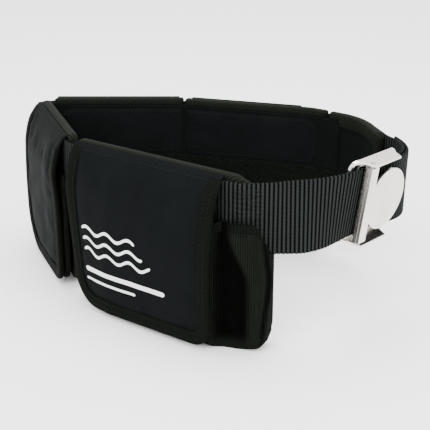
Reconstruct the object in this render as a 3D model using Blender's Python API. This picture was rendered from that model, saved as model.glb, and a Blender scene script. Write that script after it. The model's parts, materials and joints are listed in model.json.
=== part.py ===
"""Dive weight belt: a closed loop of four padded pocket units and a tapered side panel on one
50 mm webbing strap, with a stainless lever buckle at the front right.

Written for Blender 4.5.  World units are metres, +Z up, and the belt stands on the bottoms of its
pouches at z = 0.  All lengths below are in millimetres and angles in degrees.

Each unit (padded panel, its binding tape, pouch, lead weight, flap, flap binding, hook and loop
strips) is laid out along a run: a line in plan that goes round the waist counterclockwise seen from
above.  A point of a unit has a distance s along its run, an offset n outwards from the middle of
the panel, and a height z.
"""
import math

import bmesh
import bpy
from mathutils import Matrix, Vector

MM = 0.001
GAP = 0.3                       # clearance left between touching pieces

# The whole belt
BELT_HEIGHT = 122.0
CENTRE = (-4.610, 6.115)          # plan position, in the layout below, of the model's origin

# Padded panels and their binding tape
PANEL_THICKNESS = 5.0
PANEL_CORNER = 14.0             # radius of the panel's lower corners
PANEL_CORNER_TOP = 4.0
TAPE = 0.8                      # thickness of the binding tape
TAPE_WIDTH = 9.0                # how far the tape reaches in from an edge
TAPE_CORNER = 0.8               # tightest radius the tape is folded to
PANEL_HALF = PANEL_THICKNESS / 2
TAPE_OUT = GAP + TAPE           # how far a tape stands out from what it binds
PANEL_BOTTOM = 2.2 + TAPE_OUT
PANEL_TOP = BELT_HEIGHT - TAPE_OUT

# Webbing
WEBBING_WIDTH = 50.0
WEBBING_THICKNESS = 2.2
WEBBING_TOP = 118.0
WEBBING_MIDDLE = WEBBING_TOP - WEBBING_WIDTH / 2
WEBBING_OFFSET = PANEL_HALF + TAPE_OUT + 0.5 + WEBBING_THICKNESS / 2

# Pouches
POUCH_WALL = 1.3
POUCH_BACK = WEBBING_OFFSET + WEBBING_THICKNESS / 2 + 0.4
POUCH_MOUTH = 90.0
POUCH_DEPTH = 20.9              # outer face of a filled pouch, from the middle of the panel
# height, share of the pouch's depth, and how far its ends draw in at that height
POUCH_LEVELS = ((0.0, 0.58, 14.0), (2.5, 0.80, 7.0), (8.0, 0.95, 2.5), (17.0, 1.0, 0.0),
                (56.0, 1.0, 0.0), (75.0, 0.87, 0.5), (POUCH_MOUTH, 0.66, 1.0))

# Flaps
FLAP_THICKNESS = 1.6
FLAP_CLEAR = 3.1                # from the pouch's outer face to the middle of the flap
FLAP_BOTTOM = 4.0
FLAP_CORNER = 13.0              # radius of the flap's lower right corner
FLAP_CORNER_LEFT = 22.0
SHOULDER_SLOPE = 0.35           # 0 is a level start at the seam, 1 is a straight slope
SHOULDER_EMPTY = 14.2           # offset of an empty pocket's flap at the height of the mouth
SHOULDER_GROWTH = 0.40          # how much of the pouch's fill that offset gains
HINGE_OFFSET = PANEL_HALF + TAPE_OUT + 1.2
HINGE_HEIGHT = 121.2
STRIP = 0.7                     # thickness of the hook strip and of the loop strip
STRIP_LOW, STRIP_HIGH = 28.0, 53.0

# Lead weights
LEAD_HEIGHT = 63.0
LEAD_THICKNESS = 9.4
LEAD_BOTTOM = 8.0
LEAD_BEVEL = 1.8

# Rear waist pads
PAD_LOW, PAD_HIGH = 77.0, 113.5
PAD_THICKNESS = 3.0

# Buckle: local x along the belt, y inwards, z up, webbing centred on the origin
BUCKLE_AT = (112.6, -57.1)
BUCKLE_HEADING = 49.0
BUCKLE_HEIGHT = 93.0
BUCKLE_ROLL = 1.5               # the buckle is tipped in its own plane, its top along the belt
BUCKLE_LEAN = 7.5               # and its top leans outwards
SHEET = 1.5                     # thickness of the buckle's steel sheet
FRAME_START, FRAME_END = -26.5, 21.0
FLANGE_INSIDE = 58.0            # clear height between the two flanges
BASE_OUT = -1.4                 # outer face of the base plate, towards the webbing
FLANGE_OUT = 10.2
SLOT_START, SLOT_END = 14.5, 19.0
PIN_ALONG, PIN_OUT, PIN_RADIUS = -16.2, 5.9, 1.3
NOSE_REACH = 3.8                # the nose's front face is this far before the pin
LEVER_OUT = 8.9                 # outer face of the lever's plate
LEVER_HEIGHT = 55.4
LEVER_END = 28.0
NOSE_END = -12.0                # where the full-height nose ends and the plate narrows to its neck
NECK_HALF = 14.5
DISC_RADIUS = 22.4              # of the plate's round end

COLOURS = {
    "panel": (0.012, 0.014, 0.015, 0.85, 0.0),
    "tape": (0.012, 0.013, 0.010, 0.70, 0.0),
    "pouch": (0.014, 0.016, 0.014, 0.90, 0.0),
    "flap": (0.012, 0.014, 0.015, 0.80, 0.0),
    "strip": (0.008, 0.008, 0.008, 0.95, 0.0),
    "webbing": (0.045, 0.052, 0.055, 0.55, 0.0),
    "lead": (0.13, 0.13, 0.14, 0.55, 0.6),
    "pad": (0.013, 0.015, 0.016, 0.88, 0.0),
    "steel": (0.62, 0.60, 0.56, 0.28, 1.0),
}

# Units counterclockwise from the front: start of the run in plan, heading, length and bend as
# (degrees, from, to).  A unit with a pocket also has the reach of its pouch and of its flap along
# the run, how full the pouch is at two places (distance, share of the full depth), the reach of its
# lead weight (None where the pouch is carried empty), and how much the flap's left edge draws in
# towards its foot.
UNITS = {
    "front_left": dict(start=(-93.0, -14.0), heading=-36.0, length=164.0, bend=(42.0, 133.0, 149.0),
                       pouch=(2.0, 162.0), flap=(1.2, 133.0), fill=((2.0, 0.50), (44.0, 0.96)),
                       lead=(43.0, 124.0), taper=8.0),
    "right": dict(start=(127.5, 3.0), heading=104.0, length=64.0, bend=(38.0, 18.0, 56.0)),
    "rear_right": dict(start=(93.0, 59.5), heading=142.0, length=118.0, bend=(21.5, 2.0, 22.0),
                       pouch=(23.0, 115.0), flap=(22.0, 116.0), fill=((23.0, 1.0), (115.0, 1.0)),
                       lead=(32.0, 106.0), taper=0.0),
    "rear_left": dict(start=(-21.5, 99.0), heading=180.0, length=107.0, bend=(0.0, 0.0, 1.0),
                      pouch=(3.0, 104.0), flap=(2.0, 105.0), fill=((3.0, 1.0), (104.0, 1.0)),
                      lead=(11.0, 96.0), taper=0.0),
    "left": dict(start=(-134.0, 94.0), heading=-70.4, length=108.0, bend=(0.0, 0.0, 1.0),
                 pouch=(4.0, 105.0), flap=(3.0, 106.0), fill=((4.0, 0.66), (105.0, 0.28)),
                 lead=None, taper=0.0),
}
POCKETS = [name for name, unit in UNITS.items() if "pouch" in unit]
WING_START = 136.0              # where the front left panel's top drops behind the webbing
WING_TOP = 112.0
WING_RUN = 20.0                 # length over which it drops
WING_STOPS = [WING_START + WING_RUN * step / 5 for step in range(6)]
SIDE_LOW = 62.0                 # foot and top of the tapered side panel at its narrow front end
SIDE_TOP = 118.9
SIDE_FOOT = 16.0                # foot of its wide rear end
SIDE_TAPER = (6.0, 50.0)        # where its lower edge starts and ends its slope
SIDE_STOPS = [SIDE_TAPER[0] + (SIDE_TAPER[1] - SIDE_TAPER[0]) * step / 6 for step in range(7)]


# ---------------------------------------------------------------- placing points

def smooth(value, low, high):
    """0 below low, 1 above high, with an eased change between."""
    t = min(max((value - low) / (high - low), 0.0), 1.0)
    return t * t * (3 - 2 * t)


def run_point(unit, s):
    """Plan position and heading (radians) at distance s along a unit's run."""
    angle, bend_from, bend_to = unit["bend"]
    x, y = unit["start"]
    steps = max(1, int(abs(s)))
    for i in range(steps):
        middle = s * (i + 0.5) / steps
        heading = math.radians(unit["heading"] + angle * smooth(middle, bend_from, bend_to))
        x += math.cos(heading) * s / steps
        y += math.sin(heading) * s / steps
    return x, y, math.radians(unit["heading"] + angle * smooth(s, bend_from, bend_to))


def to_world(x, y, z):
    return Vector(((x - CENTRE[0]) * MM, (y - CENTRE[1]) * MM, z * MM))


def place(unit, s, n, z):
    x, y, heading = run_point(unit, s)
    return to_world(x + n * math.sin(heading), y - n * math.cos(heading), z)


def stations(unit, low, high, extra=()):
    """Distances from low to high: the ends, the extras, and a few through the bend."""
    angle, bend_from, bend_to = unit["bend"]
    inside = [bend_from + (bend_to - bend_from) * i / 5 for i in range(6)] if angle else []
    return sorted({low, high, *[s for s in (*inside, *extra) if low + 0.3 < s < high - 0.3]})


# ---------------------------------------------------------------- making objects

def material(kind):
    found = bpy.data.materials.get(kind)
    if found:
        return found
    red, green, blue, roughness, metallic = COLOURS[kind]
    made = bpy.data.materials.new(kind)
    made.use_nodes = True
    shader = made.node_tree.nodes["Principled BSDF"]
    shader.inputs["Base Color"].default_value = (red, green, blue, 1.0)
    shader.inputs["Roughness"].default_value = roughness
    shader.inputs["Metallic"].default_value = metallic
    made.diffuse_color = (red, green, blue, 1.0)
    return made


def add_object(name, bm, kind, origin=Vector((0, 0, 0))):
    """Turn a bmesh in world coordinates into an object whose origin is the given point."""
    bmesh.ops.recalc_face_normals(bm, faces=bm.faces)
    bmesh.ops.translate(bm, verts=bm.verts, vec=-origin)
    mesh = bpy.data.meshes.new(name)
    bm.to_mesh(mesh)
    bm.free()
    mesh.shade_smooth()
    mesh.set_sharp_from_angle(angle=math.radians(35))
    mesh.materials.append(material(kind))
    made = bpy.data.objects.new(name, mesh)
    made.location = origin
    bpy.context.collection.objects.link(made)
    return made


def loft(name, loops, kind, origin=Vector((0, 0, 0)), closed=False):
    """Skin a list of point loops of equal length, capped at both ends or joined into a ring."""
    bm = bmesh.new()
    rings = [[bm.verts.new(point) for point in loop] for loop in loops]
    count = len(rings[0])
    last = len(rings) if closed else len(rings) - 1
    for i in range(last):
        here, there = rings[i], rings[(i + 1) % len(rings)]
        for j in range(count):
            k = (j + 1) % count
            bm.faces.new((here[j], here[k], there[k], there[j]))
    if not closed:
        bm.faces.new(rings[0])
        bm.faces.new(rings[-1])
    return add_object(name, bm, kind, origin)


# ---------------------------------------------------------------- panels and binding tape

def panel_top(name, s):
    """Height of a panel's top edge: two panels drop towards the webbing, the others are level."""
    if name == "front_left":
        return PANEL_TOP - (PANEL_TOP - WING_TOP) * smooth(s, WING_START, WING_START + WING_RUN)
    if name == "right":
        return SIDE_TOP + (PANEL_TOP - SIDE_TOP) * min(s / SIDE_TAPER[1], 1.0)
    return PANEL_TOP


def panel_foot(name, s):
    """Height of a panel's lower edge: the side panel tapers up to the webbing at its front end."""
    if name == "right":
        return SIDE_LOW - (SIDE_LOW - SIDE_FOOT) * smooth(s, *SIDE_TAPER)
    return PANEL_BOTTOM


def panel_stops(name):
    return {"front_left": WING_STOPS, "right": SIDE_STOPS}.get(name, [])


def lower_corner(name, s):
    """Radius of the panel's lower corner nearest to s."""
    return PANEL_CORNER_TOP if name == "right" and s < 30.0 else PANEL_CORNER


def corner_rise(s, length, radius):
    """How far a rounded corner lifts the edge at distance s from either end."""
    near = min(s, length - s)
    return radius - math.sqrt(radius ** 2 - (radius - near) ** 2) if near < radius else 0.0


def panel_ends(unit):
    return TAPE_OUT, unit["length"] - TAPE_OUT


def corner_steps(radius, count):
    """Distances in from an end at which the points of a rounded corner lie."""
    return [radius * (1 - math.cos(math.radians(90.0 * i / count))) for i in range(1, count + 1)]


def make_panel(name, unit):
    low, high = panel_ends(unit)
    span = high - low
    near = corner_steps(lower_corner(name, low), 4) + corner_steps(PANEL_CORNER_TOP, 4)
    far = corner_steps(lower_corner(name, high), 4) + corner_steps(PANEL_CORNER_TOP, 4)
    extra = [low + c for c in near] + [high - c for c in far] + panel_stops(name)
    loops = []
    for s in stations(unit, low, high, extra):
        bottom = panel_foot(name, s) + corner_rise(s - low, span, lower_corner(name, s))
        top = panel_top(name, s) - corner_rise(s - low, span, PANEL_CORNER_TOP)
        loops.append([place(unit, s, -PANEL_HALF, bottom), place(unit, s, PANEL_HALF, bottom),
                      place(unit, s, PANEL_HALF, top), place(unit, s, -PANEL_HALF, top)])
    return loft(f"{name}_panel", loops, "panel")


def tape_profile(thickness):
    """Section of a U-shaped tape over a sheet's edge: (reach in from the edge, offset) pairs."""
    half_in = thickness / 2 + GAP
    half_out = half_in + TAPE
    return ((TAPE_WIDTH, half_in), (-GAP, half_in), (-GAP, -half_in), (TAPE_WIDTH, -half_in),
            (TAPE_WIDTH, -half_out), (-TAPE_OUT, -half_out), (-TAPE_OUT, half_out),
            (TAPE_WIDTH, half_out))


def inward_pairs(points):
    """Pair each point of an open outline with its inward direction (outline counterclockwise)."""
    pairs = []
    for i, point in enumerate(points):
        before, after = points[max(i - 1, 0)], points[min(i + 1, len(points) - 1)]
        ways = [Vector(point) - Vector(before), Vector(after) - Vector(point)]
        ways = [way.normalized() for way in ways if way.length > 1e-6]
        mean = sum(ways, Vector((0, 0))).normalized()
        stretch = 1.0 / max(0.5, mean.dot(ways[0]))
        pairs.append((Vector(point), Vector((-mean.y, mean.x)) * stretch))
    return pairs


def arc(centre, radius, start, end, steps):
    return [(centre[0] + radius * math.cos(math.radians(start + (end - start) * i / steps)),
             centre[1] + radius * math.sin(math.radians(start + (end - start) * i / steps)))
            for i in range(steps + 1)]


def panel_outline(name, unit, inset):
    """The panel's outline set in by a distance; every inset gives the same count of points."""
    low, high = panel_ends(unit)

    def corner(s, z, radius, start):
        held = max(radius - inset, TAPE_CORNER)
        reach = inset + held
        centre = (s + (reach if 90 <= start < 270 else -reach), z + (reach if start >= 180 else -reach))
        return arc(centre, held, start, start + 90, 4)

    def edge(height, near, far, side):
        clear = TAPE_WIDTH + TAPE_CORNER
        stops = stations(unit, low + max(near, clear), high - max(far, clear), panel_stops(name))
        return [(s, height(name, s) + side * inset
                 * math.hypot(1.0, height(name, s + 0.5) - height(name, s - 0.5)))
                for s in stops[1:-1]]

    near, far, upper = lower_corner(name, low), lower_corner(name, high), PANEL_CORNER_TOP
    return (corner(low, panel_foot(name, low), near, 180) + edge(panel_foot, near, far, 1)
            + corner(high, panel_foot(name, high), far, 270)
            + corner(high, panel_top(name, high), upper, 0)
            + edge(panel_top, upper, upper, -1)[::-1]
            + corner(low, panel_top(name, low), upper, 90))


def make_panel_binding(name, unit):
    sides = [[place(unit, s, offset, z) for s, z in panel_outline(name, unit, reach)]
             for reach, offset in tape_profile(PANEL_THICKNESS)]
    return loft(f"{name}_panel_binding", list(zip(*sides)), "tape", closed=True)


# ---------------------------------------------------------------- pouches and lead

def mouth_height(name, unit, s):
    """Height of the pouch's hem; on the front left it slants down past the flap."""
    if name != "front_left":
        return POUCH_MOUTH
    return POUCH_MOUTH - 21.0 * smooth(s, 148.0, unit["pouch"][1])


def filled(unit, s):
    """How far a pocket's contents push it out at distance s, between its two stated places."""
    (first, least), (last, most) = unit["fill"]
    share = min(max((s - first) / (last - first), 0.0), 1.0)
    return (POUCH_DEPTH - POUCH_BACK) * (least + (most - least) * share)


def pouch_front(name, unit, s, share):
    """Outward reach of the pouch's front; past the front left flap the gusset hangs slack."""
    reach = filled(unit, s)
    if name == "front_left":
        slack = 1.0 - 0.62 * smooth(s, 126.0, 140.0) + 0.24 * smooth(s, 142.0, 152.0)
        slack -= 0.30 * smooth(s, 154.0, unit["pouch"][1])
        reach *= slack
    return POUCH_BACK + reach * share


def pouch_ring(name, unit, level, inner):
    height, share, draw = level
    start, end = unit["pouch"]
    wall = POUCH_WALL if inner else 0.0
    start, end = start + draw + wall, end - draw - wall
    round_in = ((0.0, 0.0), (0.4, 0.5), (2.8, 0.84), (8.0, 1.0))
    extra = (44.0, 126.0, 133.0, 140.0, 145.0, 150.0) if name == "front_left" else ()
    first, last = unit["pouch"]
    between = [start + (s - first) * (end - start) / (last - first)
               for s in stations(unit, first, last, extra) if first + 12 <= s <= last - 12]
    sides = [(start + run, part) for run, part in round_in]
    sides += [(s, 1.0) for s in between]
    sides += [(end - run, part) for run, part in reversed(round_in)]
    sides += [(s, 0.0) for s in reversed(between)]
    points = []
    for s, part in sides:
        rise = height * mouth_height(name, unit, s) / POUCH_MOUTH
        back = POUCH_BACK + wall
        front = max(pouch_front(name, unit, s, share) - wall, back + 1.0)
        height_here = max(rise, POUCH_WALL) if inner else rise
        points.append(place(unit, s, back + (front - back) * part, height_here))
    return points


def make_pouch(name, unit):
    loops = [pouch_ring(name, unit, level, False) for level in POUCH_LEVELS]
    loops += [pouch_ring(name, unit, level, True) for level in reversed(POUCH_LEVELS[1:])]
    return loft(f"{name}_pouch", loops, "pouch")


def make_loop_strip(name, unit):
    loops = []
    for s in strip_stops(unit):
        face = POUCH_BACK + filled(unit, s) + GAP
        loops.append([place(unit, s, face, STRIP_LOW), place(unit, s, face + STRIP, STRIP_LOW),
                      place(unit, s, face + STRIP, STRIP_HIGH), place(unit, s, face, STRIP_HIGH)])
    return loft(f"{name}_loop_strip", loops, "strip")


def make_lead(name, unit):
    start, end = unit["lead"]
    middle, half = (start + end) / 2, (end - start) / 2
    back = POUCH_BACK + POUCH_WALL + 0.4
    steps = ((0.0, LEAD_BEVEL), (LEAD_BEVEL, 0.0), (LEAD_THICKNESS - LEAD_BEVEL, 0.0),
             (LEAD_THICKNESS, LEAD_BEVEL))
    loops = []
    for out, inset in steps:
        radius = 8.0 - inset
        left, right = middle - half + inset, middle + half - inset
        low, high = LEAD_BOTTOM + inset, LEAD_BOTTOM + LEAD_HEIGHT - inset
        points = arc((left + radius, low + radius), radius, 180, 270, 3)
        points += arc((right - radius, low + radius), radius, 270, 360, 3)
        points += arc((right - radius, high - radius), radius, 0, 90, 3)
        points += arc((left + radius, high - radius), radius, 90, 180, 3)
        loops.append([place(unit, s, back + out, z) for s, z in points])
    return loft(f"{name}_lead_weight", loops, "lead")


# ---------------------------------------------------------------- flaps

def flap_section(unit, s):
    """Middle line of a flap at distance s, from its seam to its foot, as (offset, height) pairs."""
    span = filled(unit, s)
    shoulder = SHOULDER_EMPTY + SHOULDER_GROWTH * span
    drop = HINGE_HEIGHT - POUCH_MOUTH
    line = []
    steps = 5
    for i in range(steps + 1):
        turn = math.radians(90.0 * i / steps)
        share = i / steps
        out = (1 - SHOULDER_SLOPE) * math.sin(turn) + SHOULDER_SLOPE * share
        down = (1 - SHOULDER_SLOPE) * (1 - math.cos(turn)) + SHOULDER_SLOPE * share
        line.append((HINGE_OFFSET + (shoulder - HINGE_OFFSET) * out, HINGE_HEIGHT - drop * down))
    for height, share, _ in reversed(POUCH_LEVELS[4:-1]):
        line.append((POUCH_BACK + span * share + FLAP_CLEAR, height))
    line.append((POUCH_BACK + span + FLAP_CLEAR, FLAP_BOTTOM))
    return line


FLAP_ROWS = len(flap_section(UNITS[POCKETS[0]], 0.0)) - 1


def on_flap(unit, s, row, side):
    """World point at s along the run and at a place down the flap's middle line, side mm outwards.

    row counts the section's points: 2.5 is half way from point 2 to point 3."""
    section = [Vector(point) for point in flap_section(unit, s)]
    i = min(int(row), FLAP_ROWS - 1)
    share = row - i
    way = (section[i + 1] - section[i]).normalized()
    before = (section[i] - section[i - 1]).normalized() if i else way
    after = (section[i + 2] - section[i + 1]).normalized() if i + 2 <= FLAP_ROWS else way
    mean = (before + way).normalized().lerp((way + after).normalized(), min(share, 1.0)).normalized()
    point = section[i].lerp(section[i + 1], share) + Vector((-mean.y, mean.x)) * side
    return place(unit, s, point.x, point.y)


def row_at(height):
    """The place down the flap's middle line, counted as on_flap does, that has this height."""
    heights = [point[1] for point in flap_section(UNITS[POCKETS[0]], 0.0)]
    for i in range(FLAP_ROWS):
        if height >= heights[i + 1] or i == FLAP_ROWS - 1:
            return i + (heights[i] - height) / (heights[i] - heights[i + 1])


def flap_sides(unit, height):
    """Left and right ends of the flap at a height."""
    left, right = unit["flap"]
    left += unit["taper"] * (1 - smooth(height, FLAP_BOTTOM, 100.0))
    ends = []
    for end, inwards, radius in ((left, 1, FLAP_CORNER_LEFT), (right, -1, FLAP_CORNER)):
        rise = FLAP_BOTTOM + radius - height
        draw = radius - math.sqrt(max(radius ** 2 - rise ** 2, 0.0)) if rise > 0 else 0.0
        ends.append(end + inwards * (TAPE_OUT + draw))
    return ends


def flap_heights():
    """Heights of the flap's rows: its section's own points, and those of the rounded corners."""
    heights = {round(point[1], 3) for point in flap_section(UNITS[POCKETS[0]], 0.0)}
    for radius in (FLAP_CORNER_LEFT, FLAP_CORNER):
        heights |= {round(FLAP_BOTTOM + step, 3) for step in corner_steps(radius, 4)}
    return sorted(heights, reverse=True)


def make_flap(name, unit):
    half = FLAP_THICKNESS / 2
    loops = []
    for height in flap_heights():
        left, right = flap_sides(unit, height)
        across = sorted({left, right, *[s for s in fill_stops(unit) if left + 1 < s < right - 1]})
        if len(fill_stops(unit)) and len(across) == 2:
            across.insert(1, (left + right) / 2)
        row = row_at(height)
        loops.append([on_flap(unit, s, row, -half) for s in across]
                     + [on_flap(unit, s, row, half) for s in reversed(across)])
    return loft(f"{name}_flap", loops, "flap", hinge_point(unit))


def fill_stops(unit):
    """Where a pocket's fill stops growing, if that lies under its flap."""
    return [s for s, _ in unit["fill"] if unit["flap"][0] + 10 < s < unit["flap"][1] - 10]


def make_flap_binding(name, unit):
    heights = [height for height in flap_heights() if height < HINGE_HEIGHT - 5.0]
    lefts = [(flap_sides(unit, height)[0], height) for height in heights]
    rights = [(flap_sides(unit, height)[1], height) for height in reversed(heights)]
    foot = [(s, FLAP_BOTTOM) for s in fill_stops(unit)]

    loops = []
    for point, inward in inward_pairs(lefts + foot + rights):
        at = [(point + inward * reach, offset) for reach, offset in tape_profile(FLAP_THICKNESS)]
        loops.append([on_flap(unit, spot.x, row_at(spot.y), offset) for spot, offset in at])
    return loft(f"{name}_flap_binding", loops, "tape", hinge_point(unit))


def strip_stops(unit):
    left, right = unit["flap"]
    return sorted([left + unit["taper"] + TAPE_WIDTH + 3.0, *fill_stops(unit), right - TAPE_WIDTH - 3.0])


def make_hook_strip(name, unit):
    loops = []
    for s in strip_stops(unit):
        face = POUCH_BACK + filled(unit, s) + FLAP_CLEAR - FLAP_THICKNESS / 2 - GAP
        loops.append([place(unit, s, face - STRIP, STRIP_LOW), place(unit, s, face, STRIP_LOW),
                      place(unit, s, face, STRIP_HIGH), place(unit, s, face - STRIP, STRIP_HIGH)])
    return loft(f"{name}_hook_strip", loops, "strip", hinge_point(unit))


def hinge_point(unit):
    """Middle of the flap's seam, which is its hinge axis."""
    left, right = unit["flap"]
    return place(unit, (left + right) / 2, HINGE_OFFSET, HINGE_HEIGHT)


# ---------------------------------------------------------------- rear waist pads

def make_pad(name, unit, low, high):
    face = -PANEL_HALF - TAPE_OUT - 0.3
    bevel = 1.6
    loops = []
    for s in stations(unit, low, high, (low + 2, low + 6, low + 14, high - 14, high - 6, high - 2)):
        near = min(s - low, high - s)
        shrink = 10.0 * (1 - math.sqrt(min(near / 14.0, 1.0) * (2 - min(near / 14.0, 1.0))))
        lift = PAD_THICKNESS * min(1.0, 0.3 + near / 2.5)
        bottom, top = PAD_LOW + shrink, PAD_HIGH - shrink
        loops.append([place(unit, s, face, bottom), place(unit, s, face, top),
                      place(unit, s, face - lift * 0.5, top - 0.4),
                      place(unit, s, face - lift, top - bevel * 2),
                      place(unit, s, face - lift, bottom + bevel * 2),
                      place(unit, s, face - lift * 0.5, bottom + 0.4)])
    return loft(name, loops, "pad")


# ---------------------------------------------------------------- buckle

def buckle_matrix():
    """Buckle axes: x along the belt, y inwards, z up, tipped along the belt at the top."""
    base = Matrix.Translation(to_world(*BUCKLE_AT, BUCKLE_HEIGHT))
    turn = Matrix.Rotation(math.radians(BUCKLE_HEADING), 4, "Z")
    roll = Matrix.Rotation(math.radians(BUCKLE_ROLL), 4, "Y")
    lean = Matrix.Rotation(math.radians(BUCKLE_LEAN), 4, "X")
    return base @ turn @ roll @ lean


def in_buckle(along, out, up):
    """World point of a place in the buckle, out being towards the outside of the belt."""
    return buckle_matrix() @ Vector((along * MM, -out * MM, up * MM))


def plate_with_slot():
    """Channel-shaped frame: base plate with a curled, rounded near end, and two turned flanges."""
    bm = bmesh.new()
    flange = FLANGE_INSIDE / 2
    inner = BASE_OUT - SHEET
    profile = [(inner, -flange - SHEET), (FLANGE_OUT, -flange - SHEET), (FLANGE_OUT, -flange),
               (BASE_OUT, -flange), (BASE_OUT, flange), (FLANGE_OUT, flange),
               (FLANGE_OUT, flange + SHEET), (inner, flange + SHEET)]
    # along the belt, share of the flanges' reach, curl inwards, share of the height
    rows = ((FRAME_START, 0.05, 3.2, 0.78), (-26.0, 0.05, 2.9, 0.86), (-24.5, 0.07, 2.0, 0.945),
            (-22.0, 0.12, 0.9, 0.99), (-19.6, 0.35, 0.15, 1.0), (-18.2, 1.0, 0.0, 1.0),
            (12.5, 1.0, 0.0, 1.0), (16.0, 0.45, 0.0, 1.0), (FRAME_END - 0.8, 0.10, 0.0, 1.0),
            (FRAME_END, 0.06, 0.0, 1.0))
    rings = []
    for along, share, curl, height in rows:
        ring = []
        for out, up in profile:
            reach = BASE_OUT + (out - BASE_OUT) * share if out > BASE_OUT else out
            ring.append(bm.verts.new(in_buckle(along, reach - curl, up * height)))
        rings.append(ring)
    for here, there in zip(rings, rings[1:]):
        for j in range(len(profile)):
            k = (j + 1) % len(profile)
            bm.faces.new((here[j], here[k], there[k], there[j]))
    bm.faces.new(rings[0])
    bm.faces.new(rings[-1])
    return bm


def window_cutter():
    """Opening behind the curled near bar of the frame."""
    half = FLANGE_INSIDE / 2 - 0.6
    outline = [(-19.9, -half), (-19.9, half), (-21.6, half), (-23.6, half - 1.3), (-24.6, half - 3.6),
               (-24.9, half - 6.0), (-24.9, 6.0 - half), (-24.6, 3.6 - half), (-23.6, 1.3 - half),
               (-21.6, -half)]
    return loft("window_cutter", [[in_buckle(along, out, up) for along, up in outline]
                                  for out in (BASE_OUT - 8, BASE_OUT + 4)], "steel")


def make_box(name, low, high, kind):
    bm = bmesh.new()
    bmesh.ops.create_cube(bm, size=1.0)
    for vert in bm.verts:
        place_in = [low[i] + (vert.co[i] + 0.5) * (high[i] - low[i]) for i in range(3)]
        vert.co = in_buckle(*place_in)
    bmesh.ops.reverse_faces(bm, faces=bm.faces[:])
    bm.normal_update()
    return add_object(name, bm, kind)


def make_cylinder(name, radius, low, high, segments, kind, origin):
    """Cylinder along the buckle's upright axis at the lever's pin."""
    loops = [[in_buckle(PIN_ALONG + radius * math.cos(math.tau * i / segments),
                        PIN_OUT + radius * math.sin(math.tau * i / segments), up)
              for i in range(segments)] for up in (low, high)]
    return loft(name, loops, kind, origin)


def cut(target, cutter):
    cutter.hide_render = True
    cutter.display_type = "WIRE"
    boolean = target.modifiers.new("cut", "BOOLEAN")
    boolean.operation = "DIFFERENCE"
    boolean.object = cutter


def make_buckle():
    flange = FLANGE_INSIDE / 2
    pin_at = in_buckle(PIN_ALONG, PIN_OUT, 0.0)
    frame = add_object("buckle_frame", plate_with_slot(), "steel")
    cut(frame, make_box("slot_cutter", (SLOT_START, BASE_OUT - 4, -25.8), (SLOT_END, BASE_OUT + 1.6, 25.8),
                        "steel"))
    cut(frame, window_cutter())
    cut(frame, make_cylinder("pin_hole_cutter", PIN_RADIUS + GAP, -flange - 4, flange + 4, 20, "steel",
                             pin_at))
    make_cylinder("buckle_pin", PIN_RADIUS, -flange - SHEET - 0.9, flange + SHEET + 0.9, 16, "steel", pin_at)
    make_lever(pin_at)


def make_lever(pin_at):
    """Lever: a square nose with its cam towards the webbing, and a plate with a disc for its end."""
    half = LEVER_HEIGHT / 2
    inner = LEVER_OUT - SHEET
    face = PIN_ALONG - NOSE_REACH
    bm = bmesh.new()
    # One outline in the plane of the belt's thickness, extruded upwards: nose and plate together.
    outline = [(LEVER_END, inner), (LEVER_END, LEVER_OUT), (face + 0.3, LEVER_OUT), (face, LEVER_OUT - 0.3),
               (face, 7.0), (face + 0.5, 6.8), (face + 0.5, 6.2), (face, 6.0)]
    outline += arc((face + 1.8, PIN_OUT - 2.0), 1.8, 180, 270, 5)
    outline += [(PIN_ALONG + 1.2, PIN_OUT - 3.8), (NOSE_END - 0.2, inner)]
    rings = [[bm.verts.new(in_buckle(along, out, up)) for along, out in outline] for up in (-half, half)]
    count = len(outline)
    for j in range(count):
        k = (j + 1) % count
        bm.faces.new((rings[0][j], rings[0][k], rings[1][k], rings[1][j]))
    bm.faces.new(rings[0])
    bm.faces.new(rings[1])
    lever = add_object("buckle_lever", bm, "steel", pin_at)
    bore = make_cylinder("lever_bore_cutter", PIN_RADIUS + GAP, -half - 2, half + 2, 20, "steel", pin_at)
    cut(lever, bore)
    for sign in (-1, 1):
        cut(lever, corner_cutter(f"lever_corner_cutter_{'lower' if sign < 0 else 'upper'}", sign, half))


def corner_cutter(name, sign, half):
    """Solid outside the lever's neck and disc, in one corner."""
    centre = LEVER_END - DISC_RADIUS
    first = -math.degrees(math.acos(NECK_HALF / DISC_RADIUS))
    turns = [math.radians(first + (86 - first) * i / 15) for i in range(16)]
    points = [(NOSE_END, sign * (half + 3)), (NOSE_END, sign * NECK_HALF)]
    points += [(centre + DISC_RADIUS * math.sin(a), sign * DISC_RADIUS * math.cos(a)) for a in turns]
    points += [(LEVER_END + 3, 0.0), (LEVER_END + 3, sign * (half + 3))]
    loops = [[in_buckle(along, out, up) for along, up in points] for out in (1.0, LEVER_OUT + 2)]
    return loft(name, loops, "steel")


# ---------------------------------------------------------------- webbing

def buckle_stop(along, out):
    """A stop of the strap in the buckle: its middle point and its upright direction."""
    return in_buckle(along, out, 0.0), buckle_matrix().to_3x3() @ Vector((0, 0, 1))


def free_stop(x, y, z, heading, lean, roll):
    """A stop between the units: lean moves the foot outwards, roll moves the top along the belt."""
    turn = math.radians(heading)
    along, inwards = Vector((math.cos(turn), math.sin(turn), 0)), Vector((-math.sin(turn), math.cos(turn), 0))
    upright = (Vector((0, 0, 1)) + inwards * math.tan(math.radians(lean))
               + along * math.tan(math.radians(roll)))
    return to_world(x, y, z), upright.normalized()


def unit_stops(unit):
    low, high = 1.0, unit["length"] - 1.0
    return [(place(unit, s, WEBBING_OFFSET, WEBBING_MIDDLE), Vector((0, 0, 1)))
            for s in stations(unit, low, high, (0.5 * (low + high),))]


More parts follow.
